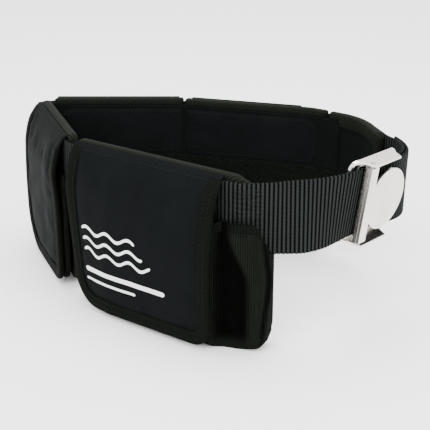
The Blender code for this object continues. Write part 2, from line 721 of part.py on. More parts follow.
def webbing_route():
    """Stops of the strap's middle line, from its sewn end round the belt to its free tip."""
    bar = (SLOT_END + FRAME_END) / 2
    bar_out = BASE_OUT - SHEET / 2
    reach = SHEET / 2 + 0.35 + WEBBING_THICKNESS / 2
    turn_at = SLOT_END - 0.3
    route = [buckle_stop(29.0, bar_out - reach + 0.3), buckle_stop(bar + 2, bar_out - reach)]
    for a in range(270, 89, -30):
        route.append(buckle_stop(turn_at + reach * math.cos(math.radians(a)),
                                 bar_out + reach * math.sin(math.radians(a))))
    middle = WEBBING_MIDDLE
    route += [buckle_stop(bar + 1.5, bar_out + reach), free_stop(133.2, -33.6, middle - 0.2, 53, -4, 2),
              free_stop(137.8, -25.8, middle - 0.1, 72, -2, 1), free_stop(139.4, -17.0, middle, 88, 0, 0),
              free_stop(138.0, -7.0, middle, 100, 0, 0)]
    for name in ("right", "rear_right", "rear_left"):
        route += unit_stops(UNITS[name])
    route += [free_stop(-133.8, 103.6, middle, 188, 0, 0), free_stop(-138.6, 100.6, middle, 235, 0, 0),
              free_stop(-140.3, 96.0, middle, 270, 0, 0)]
    for name in ("left", "front_left"):
        route += unit_stops(UNITS[name])
    route += [free_stop(53.0, -98.2, middle, 8, 4, 0), free_stop(61.0, -97.0, middle, 12, 6, 1),
              free_stop(70.0, -94.1, middle, 20, 4, 2), free_stop(79.0, -89.7, middle + 0.2, 29, 0, 2),
              free_stop(87.0, -84.1, middle + 0.5, 39, -4, 2), buckle_stop(-26.0, 0.0)]
    route += [buckle_stop(along, out) for along, out in
              ((-20, 0), (6, 0), (11, 0.8), (17, 2.6), (22, 3.2))]
    route += [free_stop(135.9, -35.6, middle - 0.8, 54, -4, 2), free_stop(140.8, -27.0, middle - 0.7, 73, -2, 1),
              free_stop(142.5, -16.8, middle - 0.6, 88, 0, 0), free_stop(141.2, -5.5, middle - 0.6, 101, 0, 0),
              free_stop(138.3, 4.5, middle - 0.5, 108, 0, 0)]
    return route


def make_webbing():
    route = webbing_route()
    half, side = WEBBING_WIDTH / 2 * MM, WEBBING_THICKNESS / 2 * MM
    loops = []
    for i, (middle, upright) in enumerate(route):
        ways = [(b - a).normalized() for a, b in
                ((route[max(i - 1, 0)][0], middle), (middle, route[min(i + 1, len(route) - 1)][0]))
                if (b - a).length > 1e-9]
        way = sum(ways, Vector()).normalized()
        outward = way.cross(upright).normalized() / max(0.5, way.dot(ways[0]))
        loops.append([middle + outward * side * out + upright * half * up
                      for out, up in ((-1, -1), (1, -1), (1, 1), (-1, 1))])
    return loft("webbing_strap", loops, "webbing")


# ---------------------------------------------------------------- assembly

def main():
    for old in list(bpy.data.objects):
        bpy.data.objects.remove(old, do_unlink=True)
    for name, unit in UNITS.items():
        make_panel(name, unit)
        make_panel_binding(name, unit)
    for name in POCKETS:
        unit = UNITS[name]
        make_pouch(name, unit)
        make_loop_strip(name, unit)
        make_flap(name, unit)
        make_flap_binding(name, unit)
        make_hook_strip(name, unit)
        if unit["lead"]:
            make_lead(name, unit)
    make_pad("rear_right_waist_pad", UNITS["rear_right"], 5.0, 116.5)
    make_pad("rear_left_waist_pad", UNITS["rear_left"], 1.5, 103.0)
    make_buckle()
    make_webbing()


main()
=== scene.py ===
"""Looks of a closed dive weight belt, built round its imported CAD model.

Lengths are in mm in the belt's own layout until a point is placed, and in metres after that.
Every unit of the belt is a strip of plan: s runs along it, n outwards from the middle of its
panel, and z up.
"""
import json
import math

import bmesh
import bpy
import numpy as np
from mathutils import Matrix, Vector
from mathutils.bvhtree import BVHTree
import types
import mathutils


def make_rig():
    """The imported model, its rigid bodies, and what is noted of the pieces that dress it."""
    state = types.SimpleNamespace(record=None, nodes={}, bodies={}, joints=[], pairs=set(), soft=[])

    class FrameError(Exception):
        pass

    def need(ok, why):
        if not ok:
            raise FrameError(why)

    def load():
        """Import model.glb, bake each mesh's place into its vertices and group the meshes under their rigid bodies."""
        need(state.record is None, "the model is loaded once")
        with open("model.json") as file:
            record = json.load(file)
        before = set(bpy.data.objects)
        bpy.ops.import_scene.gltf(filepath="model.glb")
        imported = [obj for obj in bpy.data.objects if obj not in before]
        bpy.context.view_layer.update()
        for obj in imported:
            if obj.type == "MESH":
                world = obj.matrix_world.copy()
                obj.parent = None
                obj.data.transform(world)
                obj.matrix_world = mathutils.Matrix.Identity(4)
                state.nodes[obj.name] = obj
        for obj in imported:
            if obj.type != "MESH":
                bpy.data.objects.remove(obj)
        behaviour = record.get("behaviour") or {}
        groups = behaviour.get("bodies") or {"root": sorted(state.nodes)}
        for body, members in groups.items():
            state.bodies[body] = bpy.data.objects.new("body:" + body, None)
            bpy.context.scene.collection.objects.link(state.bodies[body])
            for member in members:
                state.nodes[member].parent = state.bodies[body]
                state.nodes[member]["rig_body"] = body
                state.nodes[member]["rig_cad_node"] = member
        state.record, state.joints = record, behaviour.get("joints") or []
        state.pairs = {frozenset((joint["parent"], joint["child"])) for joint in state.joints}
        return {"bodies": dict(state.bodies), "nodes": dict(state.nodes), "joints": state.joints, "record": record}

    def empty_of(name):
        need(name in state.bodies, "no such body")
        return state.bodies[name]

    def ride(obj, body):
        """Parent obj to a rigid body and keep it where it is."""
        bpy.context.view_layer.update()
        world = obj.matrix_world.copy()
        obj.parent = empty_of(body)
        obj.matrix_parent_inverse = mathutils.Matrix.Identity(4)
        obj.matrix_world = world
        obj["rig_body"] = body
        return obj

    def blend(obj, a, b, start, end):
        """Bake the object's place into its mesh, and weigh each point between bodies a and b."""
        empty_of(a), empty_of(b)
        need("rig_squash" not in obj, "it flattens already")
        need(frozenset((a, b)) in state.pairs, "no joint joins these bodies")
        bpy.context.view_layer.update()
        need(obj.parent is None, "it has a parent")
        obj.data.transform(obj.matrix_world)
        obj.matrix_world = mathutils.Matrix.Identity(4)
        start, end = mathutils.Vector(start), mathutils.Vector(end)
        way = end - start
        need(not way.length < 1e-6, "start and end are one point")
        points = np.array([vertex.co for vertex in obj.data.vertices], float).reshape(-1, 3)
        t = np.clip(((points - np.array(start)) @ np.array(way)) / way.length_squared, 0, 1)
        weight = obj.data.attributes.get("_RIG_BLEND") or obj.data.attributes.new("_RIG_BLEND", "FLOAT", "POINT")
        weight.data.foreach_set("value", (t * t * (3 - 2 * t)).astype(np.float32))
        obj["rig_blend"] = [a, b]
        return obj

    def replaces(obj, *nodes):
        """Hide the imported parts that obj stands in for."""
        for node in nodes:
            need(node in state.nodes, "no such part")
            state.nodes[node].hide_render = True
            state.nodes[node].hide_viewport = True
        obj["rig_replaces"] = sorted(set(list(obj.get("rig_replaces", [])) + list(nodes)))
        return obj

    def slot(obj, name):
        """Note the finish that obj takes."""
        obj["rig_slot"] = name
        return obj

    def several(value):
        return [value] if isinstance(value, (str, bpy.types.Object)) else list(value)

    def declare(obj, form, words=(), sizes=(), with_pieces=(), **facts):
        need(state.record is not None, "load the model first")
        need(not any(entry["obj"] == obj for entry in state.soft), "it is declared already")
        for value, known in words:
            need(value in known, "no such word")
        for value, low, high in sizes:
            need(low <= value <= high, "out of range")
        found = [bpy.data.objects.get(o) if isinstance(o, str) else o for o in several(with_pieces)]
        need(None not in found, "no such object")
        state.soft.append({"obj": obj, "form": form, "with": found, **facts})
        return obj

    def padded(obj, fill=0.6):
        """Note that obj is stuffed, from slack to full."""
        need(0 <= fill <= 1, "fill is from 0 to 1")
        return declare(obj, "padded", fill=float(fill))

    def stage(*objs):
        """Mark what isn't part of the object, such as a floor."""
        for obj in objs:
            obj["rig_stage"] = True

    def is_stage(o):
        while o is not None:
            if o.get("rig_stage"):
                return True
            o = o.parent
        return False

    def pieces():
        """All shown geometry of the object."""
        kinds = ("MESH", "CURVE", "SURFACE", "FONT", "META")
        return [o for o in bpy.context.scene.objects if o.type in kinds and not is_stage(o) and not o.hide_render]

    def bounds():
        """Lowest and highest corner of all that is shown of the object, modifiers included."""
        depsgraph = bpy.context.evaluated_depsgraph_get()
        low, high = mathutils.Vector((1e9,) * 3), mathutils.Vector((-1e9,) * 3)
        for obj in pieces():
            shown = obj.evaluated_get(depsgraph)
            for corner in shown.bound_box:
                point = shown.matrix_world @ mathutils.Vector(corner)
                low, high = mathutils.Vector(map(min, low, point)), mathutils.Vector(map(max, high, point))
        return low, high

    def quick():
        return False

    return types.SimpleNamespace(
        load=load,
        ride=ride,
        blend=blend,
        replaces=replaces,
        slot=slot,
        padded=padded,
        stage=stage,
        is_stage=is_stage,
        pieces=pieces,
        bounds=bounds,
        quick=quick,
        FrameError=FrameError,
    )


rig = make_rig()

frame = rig.load()
cad_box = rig.bounds()

MM = 0.001
CENTRE = (-4.610, 6.115)
UNITS = {
    "front_left": dict(start=(-93.0, -14.0), heading=-36.0, length=164.0, bend=(42.0, 133.0, 149.0),
                       pouch=(2.0, 162.0), flap=(1.2, 133.0), fill=((2.0, 0.50), (44.0, 0.96)),
                       taper=8.0, corners=(22.0, 13.0)),
    "right": dict(start=(127.5, 3.0), heading=104.0, length=64.0, bend=(38.0, 18.0, 56.0)),
    "rear_right": dict(start=(93.0, 59.5), heading=142.0, length=118.0, bend=(21.5, 2.0, 22.0),
                       pouch=(23.0, 115.0), flap=(22.0, 116.0), fill=((23.0, 1.0), (115.0, 1.0)),
                       taper=0.0, corners=(16.0, 16.0)),
    "rear_left": dict(start=(-21.5, 99.0), heading=180.0, length=107.0, bend=(0.0, 0.0, 1.0),
                      pouch=(3.0, 104.0), flap=(2.0, 105.0), fill=((3.0, 1.0), (104.0, 1.0)),
                      taper=0.0, corners=(16.0, 16.0)),
    "left": dict(start=(-134.0, 94.0), heading=-70.4, length=108.0, bend=(0.0, 0.0, 1.0),
                 pouch=(4.0, 105.0), flap=(3.0, 106.0), fill=((4.0, 0.66), (105.0, 0.28)),
                 taper=0.0, corners=(34.0, 14.0)),
}
POCKETS = [name for name, unit in UNITS.items() if "pouch" in unit]

GAP = 0.3
PANEL_HALF = 2.5
TAPE = 0.8
TAPE_WIDTH = 9.0
TAPE_OUT = GAP + TAPE
PANEL_BOTTOM = 3.3
PANEL_TOP = 120.9
PANEL_CORNER = 14.0
PANEL_CORNER_TOP = 4.0
WING_TOP = 112.0                 # front left panel past its flap
WING_START, WING_END = 136.0, 156.0
SIDE_TOP, SIDE_LOW, SIDE_FOOT = 118.9, 62.0, 16.0
SIDE_TAPER = (6.0, 50.0)         # where the side panel's foot falls from SIDE_LOW to SIDE_FOOT
WEBBING_HALF = 25.0
WEBBING_THICK_HALF = 1.1
WEBBING_MIDDLE = 93.0
WEBBING_OFFSET = 5.2
RIB_PITCH = 2.9
POUCH_BACK = 6.7
POUCH_WALL = 1.3
POUCH_MOUTH = 90.0
POUCH_DEPTH = 20.9
POUCH_HEIGHTS = (0.0, 2.5, 8.0, 17.0, 56.0, 75.0, 90.0)
POUCH_SHARES = (0.58, 0.80, 0.95, 1.0, 1.0, 0.87, 0.66)
POUCH_DRAWS = (14.0, 7.0, 2.5, 0.0, 0.0, 0.5, 1.0)
FLAP_HALF = 0.8
FLAP_CLEAR = 3.1
FLAP_BOTTOM = 4.0
HINGE_OFFSET = 4.8
HINGE_HEIGHT = 121.2
SHOULDER_SLOPE = 0.35
SHOULDER_EMPTY = 14.2
SHOULDER_GROWTH = 0.40
BEND_HEIGHT = 116.4              # below the seam, where a flap's cloth has finished bending
STRIP_LOW, STRIP_HIGH = 28.0, 53.0
PAD_LOW, PAD_HIGH = 77.0, 113.5
LINING_LOW, LINING_HIGH = 5.0, 117.5
STITCH_PITCH = 3.1
STITCH_LENGTH = 2.3
THREAD_RADIUS = 0.26
THREAD_SIDES = 6
SETTLE_FRAMES = 14
BUCKLE_AT = (112.6, -57.1, 93.0)
BUCKLE_HEADING, BUCKLE_ROLL, BUCKLE_LEAN = 49.0, 1.5, 7.5
BASE_OUT, SHEET = -1.4, 1.5
SLOT_END, FRAME_END = 19.0, 21.0


# ------------------------------------------------------------------ layout

def smooth(value, low, high):
    t = np.clip((np.asarray(value, float) - low) / (high - low), 0.0, 1.0)
    return t * t * (3 - 2 * t)


def run_table(unit):
    """Plan position and heading every quarter of a millimetre along a unit's run."""
    step = 0.25
    s = np.arange(-20.0, unit["length"] + 20.0 + step, step)
    angle, low, high = unit["bend"]
    middle = np.radians(unit["heading"] + angle * smooth(s[:-1] + step / 2, low, high))
    x = np.concatenate([[0.0], np.cumsum(np.cos(middle) * step)])
    y = np.concatenate([[0.0], np.cumsum(np.sin(middle) * step)])
    zero = int(round(20.0 / step))
    return s, x - x[zero] + unit["start"][0], y - y[zero] + unit["start"][1]


for layout in UNITS.values():
    layout["table"] = run_table(layout)


def to_world(x, y, z):
    x, y, z = np.broadcast_arrays(np.asarray(x, float), np.asarray(y, float), np.asarray(z, float))
    return np.stack([(x - CENTRE[0]) * MM, (y - CENTRE[1]) * MM, z * MM], axis=-1)


def place(unit, s, n, z):
    s, n, z = np.broadcast_arrays(np.asarray(s, float), np.asarray(n, float), np.asarray(z, float))
    along, x, y = unit["table"]
    angle, low, high = unit["bend"]
    heading = np.radians(unit["heading"] + angle * smooth(s, low, high))
    return to_world(np.interp(s, along, x) + n * np.sin(heading),
                    np.interp(s, along, y) - n * np.cos(heading), z)


def outward(unit, s):
    """Unit vector that points out of the belt at distance s."""
    angle, low, high = unit["bend"]
    heading = np.radians(unit["heading"] + angle * smooth(s, low, high))
    return np.stack([np.sin(heading), -np.cos(heading), np.zeros_like(heading)], axis=-1)


def waves(seed, u, v, size, count=9):
    """Smooth unevenness from -1 to 1: a fixed sum of sine waves about size mm long."""
    draw = np.random.default_rng(seed)
    total = np.zeros(np.broadcast(u, v).shape)
    for _ in range(count):
        turn, phase = draw.uniform(0, math.tau, 2)
        k = math.tau / (size * draw.uniform(0.6, 1.7))
        total += np.sin((u * math.cos(turn) + v * math.sin(turn)) * k + phase)
    return total / (count ** 0.5 * 1.4)


# ------------------------------------------------------------------ meshes

def finish_mesh(name, bm, material, cloth):
    bmesh.ops.recalc_face_normals(bm, faces=bm.faces)
    mesh = bpy.data.meshes.new(name)
    bm.to_mesh(mesh)
    bm.free()
    return finish_object(name, mesh, material, cloth)


def finish_object(name, mesh, material, cloth):
    if cloth is not None:
        layer = mesh.attributes.new("cloth", "FLOAT_VECTOR", "POINT")
        layer.data.foreach_set("vector", np.asarray(cloth, np.float32).reshape(-1))
    mesh.shade_smooth()
    mesh.set_sharp_from_angle(angle=math.radians(50))
    for one in material if isinstance(material, (list, tuple)) else [material]:
        mesh.materials.append(one)
    made = bpy.data.objects.new(name, mesh)
    bpy.context.collection.objects.link(made)
    return made


def from_arrays(name, points, faces, material, cloth=None):
    mesh = bpy.data.meshes.new(name)
    mesh.from_pydata(np.asarray(points).reshape(-1, 3).tolist(), [], [list(map(int, f)) for f in faces])
    mesh.update()
    bm = bmesh.new()
    bm.from_mesh(mesh)
    bpy.data.meshes.remove(mesh)
    return finish_mesh(name, bm, material, cloth)


def quads(index, loop_u=False, loop_v=False):
    """Quads over a grid of vertex numbers."""
    grid = np.asarray(index)
    if loop_u:
        grid = np.vstack([grid, grid[:1]])
    if loop_v:
        grid = np.hstack([grid, grid[:, :1]])
    return np.stack([grid[:-1, :-1], grid[1:, :-1], grid[1:, 1:], grid[:-1, 1:]], axis=-1).reshape(-1, 4)


def shell(name, front, back, uv, material):
    """Closed sheet between two grids of points; uv is their place on the cloth in mm."""
    rows, columns = front.shape[:2]
    index = np.arange(rows * columns).reshape(rows, columns)
    other = index + rows * columns
    faces = [quads(index), quads(other)[:, ::-1]]
    edge = np.concatenate([index[:, 0], index[-1, 1:], index[-2::-1, -1], index[0, -2:0:-1]])
    rim = np.stack([edge, np.roll(edge, -1), np.roll(edge, -1) + rows * columns,
                    edge + rows * columns], axis=-1)
    faces.append(rim)
    cloth = np.concatenate([uv.reshape(-1, 2)] * 2)
    cloth = np.column_stack([cloth, np.zeros(len(cloth))])
    return from_arrays(name, np.concatenate([front.reshape(-1, 3), back.reshape(-1, 3)]),
                       np.concatenate(faces), material, cloth)


def tube_faces(count, around, closed=False):
    """Faces of a tube of rings: joined round, or filled at both ends."""
    index = np.arange(count * around).reshape(count, around)
    faces = quads(index, loop_u=closed, loop_v=True).tolist()
    if not closed:
        faces += [index[0].tolist(), index[-1][::-1].tolist()]
    return faces


def tube(name, rings, uv, material, closed=False):
    count, around = rings.shape[:2]
    faces = tube_faces(count, around, closed)
    cloth = np.column_stack([uv.reshape(-1, 2), np.zeros(count * around)])
    return from_arrays(name, rings, faces, material, cloth)


def join(parts):
    """One (points, faces, cloth) from several."""
    points, faces, cloth, base = [], [], [], 0
    for some_points, some_faces, some_cloth in parts:
        points.append(some_points)
        cloth.append(some_cloth)
        faces += [[i + base for i in face] for face in some_faces]
        base += len(some_points)
    return np.concatenate(points), faces, np.concatenate(cloth)


def settle(grid, pinned, push, grow, low, high):
    """Cloth simulation of a sewn sheet: it grows and swells between its pinned points.

    The move of each point is held to its outward part, between low and high mm."""
    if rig.quick():
        return grid
    rows, columns = grid.shape[:2]
    index = np.arange(rows * columns).reshape(rows, columns)
    mesh = bpy.data.meshes.new("settling")
    mesh.from_pydata(grid.reshape(-1, 3).tolist(), [], quads(index).tolist())
    mesh.update()
    made = bpy.data.objects.new("settling", mesh)
    bpy.context.collection.objects.link(made)
    normals = grid_normals(grid)
    group = made.vertex_groups.new(name="sewn")
    group.add([int(i) for i in index[pinned]], 1.0, "REPLACE")
    cloth = made.modifiers.new("cloth", "CLOTH")
    for setting, value in dict(quality=6, mass=0.15, tension_stiffness=12, compression_stiffness=12,
                               shear_stiffness=6, bending_stiffness=0.35, use_pressure=True,
                               uniform_pressure_force=push, shrink_min=-grow,
                               vertex_group_mass="sewn").items():
        setattr(cloth.settings, setting, value)
    cloth.settings.effector_weights.gravity = 0.0
    cloth.point_cache.frame_start = 1
    cloth.point_cache.frame_end = SETTLE_FRAMES
    scene = bpy.context.scene
    for number in range(1, SETTLE_FRAMES + 1):
        scene.frame_set(number)
    shaped = made.evaluated_get(bpy.context.evaluated_depsgraph_get())
    result = shaped.to_mesh()
    moved = np.empty(rows * columns * 3)
    result.vertices.foreach_get("co", moved)
    shaped.to_mesh_clear()
    bpy.data.objects.remove(made, do_unlink=True)
    bpy.data.meshes.remove(mesh)
    scene.frame_set(1)
    move = ((moved.reshape(grid.shape) - grid) * normals).sum(axis=-1) / MM
    limit = np.where(move > 0, high, -low)
    move = limit * np.tanh(move / np.where(limit == 0, 1.0, limit))
    return grid + normals * (move * MM)[..., None]


def grid_normals(grid):
    """Unit normals of a grid whose first index runs along the belt and second upwards."""
    du, dv = np.gradient(grid, axis=0), np.gradient(grid, axis=1)
    normal = np.cross(du, dv)
    return normal / np.linalg.norm(normal, axis=-1, keepdims=True)


# ------------------------------------------------------------------ materials

class Nodes:
    """Short names for building a node tree."""

    def __init__(self, name):
        self.material = bpy.data.materials.new(name)
        self.material.use_nodes = True
        self.tree = self.material.node_tree
        self.shader = self.tree.nodes["Principled BSDF"]

    def add(self, kind, inputs=None, **settings):
        node = self.tree.nodes.new("ShaderNode" + kind)
        for key, value in settings.items():
            setattr(node, key, value)
        for key, value in (inputs or {}).items():
            self.put(node.inputs[key], value)
        return node

    def put(self, socket, value):
        if isinstance(value, bpy.types.NodeSocket):
            self.tree.links.new(value, socket)
        else:
            socket.default_value = value

    def math(self, operation, a, b=0.0, c=0.0):
        return self.add("Math", {0: a, 1: b, 2: c}, operation=operation).outputs[0]

    def cloth(self):
        return self.add("Attribute", attribute_name="cloth", attribute_type="GEOMETRY").outputs["Vector"]

    def wave(self, vector, pitch, direction="X", distortion=0.0):
        node = self.add("TexWave", {"Vector": vector, "Scale": 0.314159 / pitch,
                                    "Distortion": distortion, "Detail": 1.0},
                        wave_type="BANDS", bands_direction=direction)
        return node.outputs["Fac"]

    def noise(self, vector, scale, detail=3.0, roughness=0.5):
        return self.add("TexNoise", {"Vector": vector, "Scale": scale, "Detail": detail,
                                     "Roughness": roughness}).outputs["Fac"]

    def ramp(self, factor, *stops):
        node = self.add("ValToRGB", {"Fac": factor})
        elements = node.color_ramp.elements
        while len(elements) < len(stops):
            elements.new(0.5)
        for element, (position, colour) in zip(elements, stops):
            element.position = position
            element.color = (*colour, 1.0) if isinstance(colour, tuple) else (colour,) * 3 + (1.0,)
        return node.outputs["Color"]

    def mix(self, factor, a, b, blend="MIX"):
        node = self.add("Mix", data_type="RGBA", blend_type=blend)
        self.put(node.inputs[0], factor)
        self.put(node.inputs[6], (*a, 1.0) if isinstance(a, tuple) else a)
        self.put(node.inputs[7], (*b, 1.0) if isinstance(b, tuple) else b)
        return node.outputs[2]

    def bump(self, height, depth, normal=None):
        inputs = {"Height": height, "Distance": depth * MM, "Strength": 1.0}
        if normal is not None:
            inputs["Normal"] = normal
        return self.add("Bump", inputs).outputs["Normal"]

    def use(self, colour, roughness, normal=None):
        self.put(self.shader.inputs["Base Color"], colour)
        self.put(self.shader.inputs["Roughness"], roughness)
        if normal is not None:
            self.put(self.shader.inputs["Normal"], normal)
        return self.material


def fabric(name, dark, light, kind, pitch, depth, rough, sheen, ribs=None):
    """Woven cloth: dark between the yarns and light on them, with slow variation and lint; ribs paints shade into the
    grooves between the webbing's ribs, and the cords take painted shade deep in a gusset's folds.
    """
    nodes = Nodes(name)
    spot = nodes.cloth()
    if kind == "weave":
        height = nodes.math("MULTIPLY", nodes.wave(spot, pitch, "X", 0.3), nodes.wave(spot, pitch, "Y", 0.3))
    elif kind == "ribs":
        height = nodes.math("MULTIPLY_ADD", nodes.wave(spot, pitch * 0.45, "Y", 0.5), 0.35,
                            nodes.wave(spot, pitch, "X", 0.4))
    elif kind == "cords":
        height = nodes.math("MULTIPLY_ADD", nodes.wave(spot, pitch * 0.5, "Y", 0.6), 0.3,
                            nodes.wave(spot, pitch, "X", 0.8))
    elif kind == "braid":
        height = nodes.math("ADD", nodes.wave(spot, pitch, "DIAGONAL", 0.6),
                            nodes.math("MULTIPLY", nodes.wave(spot, pitch * 0.8, "Y", 0.4), 0.5))
    else:
        cells = nodes.add("TexVoronoi", {"Vector": spot, "Scale": 1.0 / pitch}, feature="F1")
        height = nodes.math("SUBTRACT", 1.0, cells.outputs["Distance"])
    slow = nodes.noise(spot, 0.035, 4.0, 0.55)
    lint = nodes.noise(spot, 1.3, 2.0, 0.7)
    colour = nodes.mix(height, dark, light)
    colour = nodes.mix(nodes.math("MULTIPLY", slow, 0.35), colour, tuple(c * 1.3 for c in light))
    # painted shade: the ribs colour darkens the grooves between the webbing's ribs
    if ribs:
        run = nodes.add("SeparateXYZ", {"Vector": spot}).outputs["Y"]
        turn = nodes.math("PINGPONG", nodes.math("DIVIDE", run, RIB_PITCH), 0.5)
        colour = nodes.mix(nodes.ramp(turn, (0.13, 1.0), (0.34, 0.0)), colour, ribs)
    colour = nodes.mix(nodes.ramp(lint, (0.68, 0.0), (0.82, 0.5)), colour, tuple(c * 2.0 for c in light))
    if kind == "cords":
        # painted shade: the stretch mesh darkens deep in the gusset's folds
        painted_fold_shade = nodes.add("Attribute", attribute_name="painted_fold_shade").outputs["Fac"]
        colour = nodes.mix(painted_fold_shade, colour, tuple(c * 0.35 for c in dark))
    roughness = nodes.math("MULTIPLY_ADD", slow, rough[1] - rough[0], rough[0])
    ground = nodes.bump(slow, 0.25)
    nodes.use(colour, roughness, nodes.bump(height, depth, ground))
    nodes.shader.inputs["Sheen Weight"].default_value = sheen
    nodes.shader.inputs["Sheen Roughness"].default_value = 0.45
    nodes.shader.inputs["Specular IOR Level"].default_value = 0.01
    return nodes.material


def metal(name, colour, rough, brushed=True):
    """Stamped stainless: fine grain along the part, soft stains and thin scratches."""
    nodes = Nodes(name)
    spot = nodes.add("TexCoord").outputs["Object"]
    grain_spot = nodes.add("Mapping", {"Vector": spot, "Scale": (900.0, 900.0, 30.0)}).outputs["Vector"]
    grain = nodes.noise(grain_spot, 1.0, 2.0, 0.6)
    stain = nodes.noise(spot, 55.0, 4.0, 0.55)
    scratch_spot = nodes.add("Mapping", {"Vector": spot, "Rotation": (0.3, 0.5, 0.7),
                                         "Scale": (60.0, 900.0, 60.0)}).outputs["Vector"]
    lines = nodes.ramp(nodes.noise(scratch_spot, 1.0, 2.0, 0.5), (0.64, 0.0), (0.70, 1.0))
    worn = nodes.mix(nodes.ramp(stain, (0.35, 0.0), (0.72, 0.55)), colour, tuple(c * 0.78 for c in colour))
    worn = nodes.mix(nodes.math("MULTIPLY", lines, 0.35), worn, tuple(min(1.0, c * 1.15) for c in colour))
    roughness = nodes.math("MULTIPLY_ADD", stain, 0.22, rough)
    height = nodes.math("MULTIPLY_ADD", grain, 0.5 if brushed else 0.1, nodes.math("MULTIPLY", lines, 0.4))
    nodes.use(worn, roughness, nodes.bump(height, 0.004))
    nodes.shader.inputs["Metallic"].default_value = 1.0
    return nodes.material


def lead_material():
    nodes = Nodes("cast lead")
    spot = nodes.add("TexCoord").outputs["Object"]
    slow, fine = nodes.noise(spot, 60.0, 4.0, 0.6), nodes.noise(spot, 700.0, 3.0, 0.6)
    colour = nodes.mix(nodes.ramp(slow, (0.3, 0.0), (0.7, 1.0)), (0.09, 0.095, 0.10), (0.20, 0.205, 0.21))
    height = nodes.math("MULTIPLY_ADD", fine, 0.4, slow)
    nodes.use(colour, nodes.math("MULTIPLY_ADD", slow, 0.25, 0.45), nodes.bump(height, 0.5))
    nodes.shader.inputs["Metallic"].default_value = 0.55
    return nodes.material


def print_material():
    nodes = Nodes("screen print")
    spot = nodes.cloth()
    worn = nodes.noise(spot, 0.9, 4.0, 0.65)
    weave = nodes.math("MULTIPLY", nodes.wave(spot, 0.9, "X"), nodes.wave(spot, 0.9, "Y"))
    colour = nodes.mix(nodes.ramp(worn, (0.62, 0.0), (0.76, 0.6)), (0.72, 0.73, 0.72), (0.30, 0.31, 0.31))
    nodes.use(colour, nodes.math("MULTIPLY_ADD", worn, 0.2, 0.45), nodes.bump(weave, 0.08))
    return nodes.material


def plain_pale(name, colour):
    nodes = Nodes(name)
    spot = nodes.add("TexCoord").outputs["Object"]
    colour = nodes.mix(nodes.noise(spot, 3.0), colour, tuple(c * 0.985 for c in colour))
    return nodes.use(colour, 0.9)


SHELL_CLOTH = fabric("pack cloth", (0.0014, 0.0017, 0.0018), (0.0064, 0.0075, 0.0077), "weave", 0.85, 0.16,
                     (0.55, 0.75), 0.008)
PANEL_CLOTH = fabric("panel cloth", (0.0014, 0.0017, 0.0017), (0.0056, 0.0066, 0.0066), "weave", 0.85, 0.14,
                     (0.60, 0.80), 0.008)
MESH_CLOTH = fabric("stretch mesh", (0.0004, 0.0005, 0.0003), (0.0085, 0.0100, 0.0076), "cords", 0.85, 0.6,
                    (0.70, 0.90), 0.004)
SPACER_CLOTH = fabric("spacer mesh", (0.0007, 0.0009, 0.0006), (0.0050, 0.0060, 0.0046), "cells", 1.5, 0.30,
                      (0.75, 0.92), 0.006)
TAPE_CLOTH = fabric("binding tape", (0.0006, 0.0008, 0.0005), (0.0038, 0.0046, 0.0036), "ribs", 1.15, 0.22,
                    (0.50, 0.70), 0.004)
BRAID_CLOTH = fabric("braided tape", (0.0007, 0.0009, 0.0006), (0.0085, 0.0100, 0.0074), "braid", 1.5, 0.30,
                     (0.50, 0.70), 0.006)
# the webbing's last colour is painted shade in the grooves between its ribs
WEB_CLOTH = fabric("belt webbing", (0.0045, 0.0054, 0.0052), (0.0205, 0.0240, 0.0232), "ribs", 0.95, 0.2,
                   (0.42, 0.60), 0.01, ribs=(0.0004, 0.0005, 0.0004))
PILE_CLOTH = fabric("hook and loop", (0.0008, 0.0008, 0.0008), (0.0055, 0.0055, 0.0055), "cells", 0.8, 0.45,
                    (0.8, 0.95), 0.05)
THREAD = fabric("bonded thread", (0.0025, 0.0027, 0.0025), (0.0120, 0.0130, 0.0120), "ribs", 0.5, 0.05,
                (0.35, 0.5), 0.0)
STEEL = metal("brushed stainless", (0.70, 0.675, 0.635), 0.13)
PIN_STEEL = metal("turned stainless", (0.58, 0.57, 0.55), 0.18, brushed=False)
LEAD = lead_material()
PRINT = print_material()


# ------------------------------------------------------------------ sewing

def sewn_row(path, normals):
    """Thread stitches along a path of points: each dips into the cloth at its ends."""
    path, normals = np.asarray(path), np.asarray(normals)
    steps = np.linalg.norm(np.diff(path, axis=0), axis=1)
    along = np.concatenate([[0.0], np.cumsum(steps)]) / MM
    count = int((along[-1] - STITCH_LENGTH) // STITCH_PITCH)
    if count < 1:
        return []
    spots = (along[-1] - (count - 1) * STITCH_PITCH) / 2 + np.arange(count) * STITCH_PITCH

    def at(values, distance):
        return np.stack([np.interp(distance, along, values[:, i]) for i in range(3)], axis=-1)

    profile = ((-0.5, 0.30, -0.9), (-0.38, 0.85, -0.1), (0.0, 1.0, 0.35),
               (0.38, 0.85, -0.1), (0.5, 0.30, -0.9))
    parts = []
    for spot in spots:
        rings = []
        for reach, size, lift in profile:
            middle = at(path, spot + reach * STITCH_LENGTH)
            way = at(path, spot + 0.3) - at(path, spot - 0.3)
            up = at(normals, spot)
            side = np.cross(way, up)
            side /= np.linalg.norm(side)
            up = np.cross(side, way)
            up /= np.linalg.norm(up)
            turn = np.arange(THREAD_SIDES) * math.tau / THREAD_SIDES
            ring = (middle + up * (lift * THREAD_RADIUS * MM) + size * THREAD_RADIUS * MM
                    * (np.cos(turn)[:, None] * side + np.sin(turn)[:, None] * up))
            rings.append(ring)
        points = np.concatenate(rings)
        faces = tube_faces(len(profile), THREAD_SIDES)
        cloth = np.zeros((len(points), 3))
        cloth[:, 0] = spot + np.repeat([p[0] * STITCH_LENGTH for p in profile], THREAD_SIDES)
        parts.append((points, faces, cloth))
    return parts


def make_thread(name, parts, material=THREAD):
    points, faces, cloth = join(parts)
    return from_arrays(name, points, faces, material, cloth)


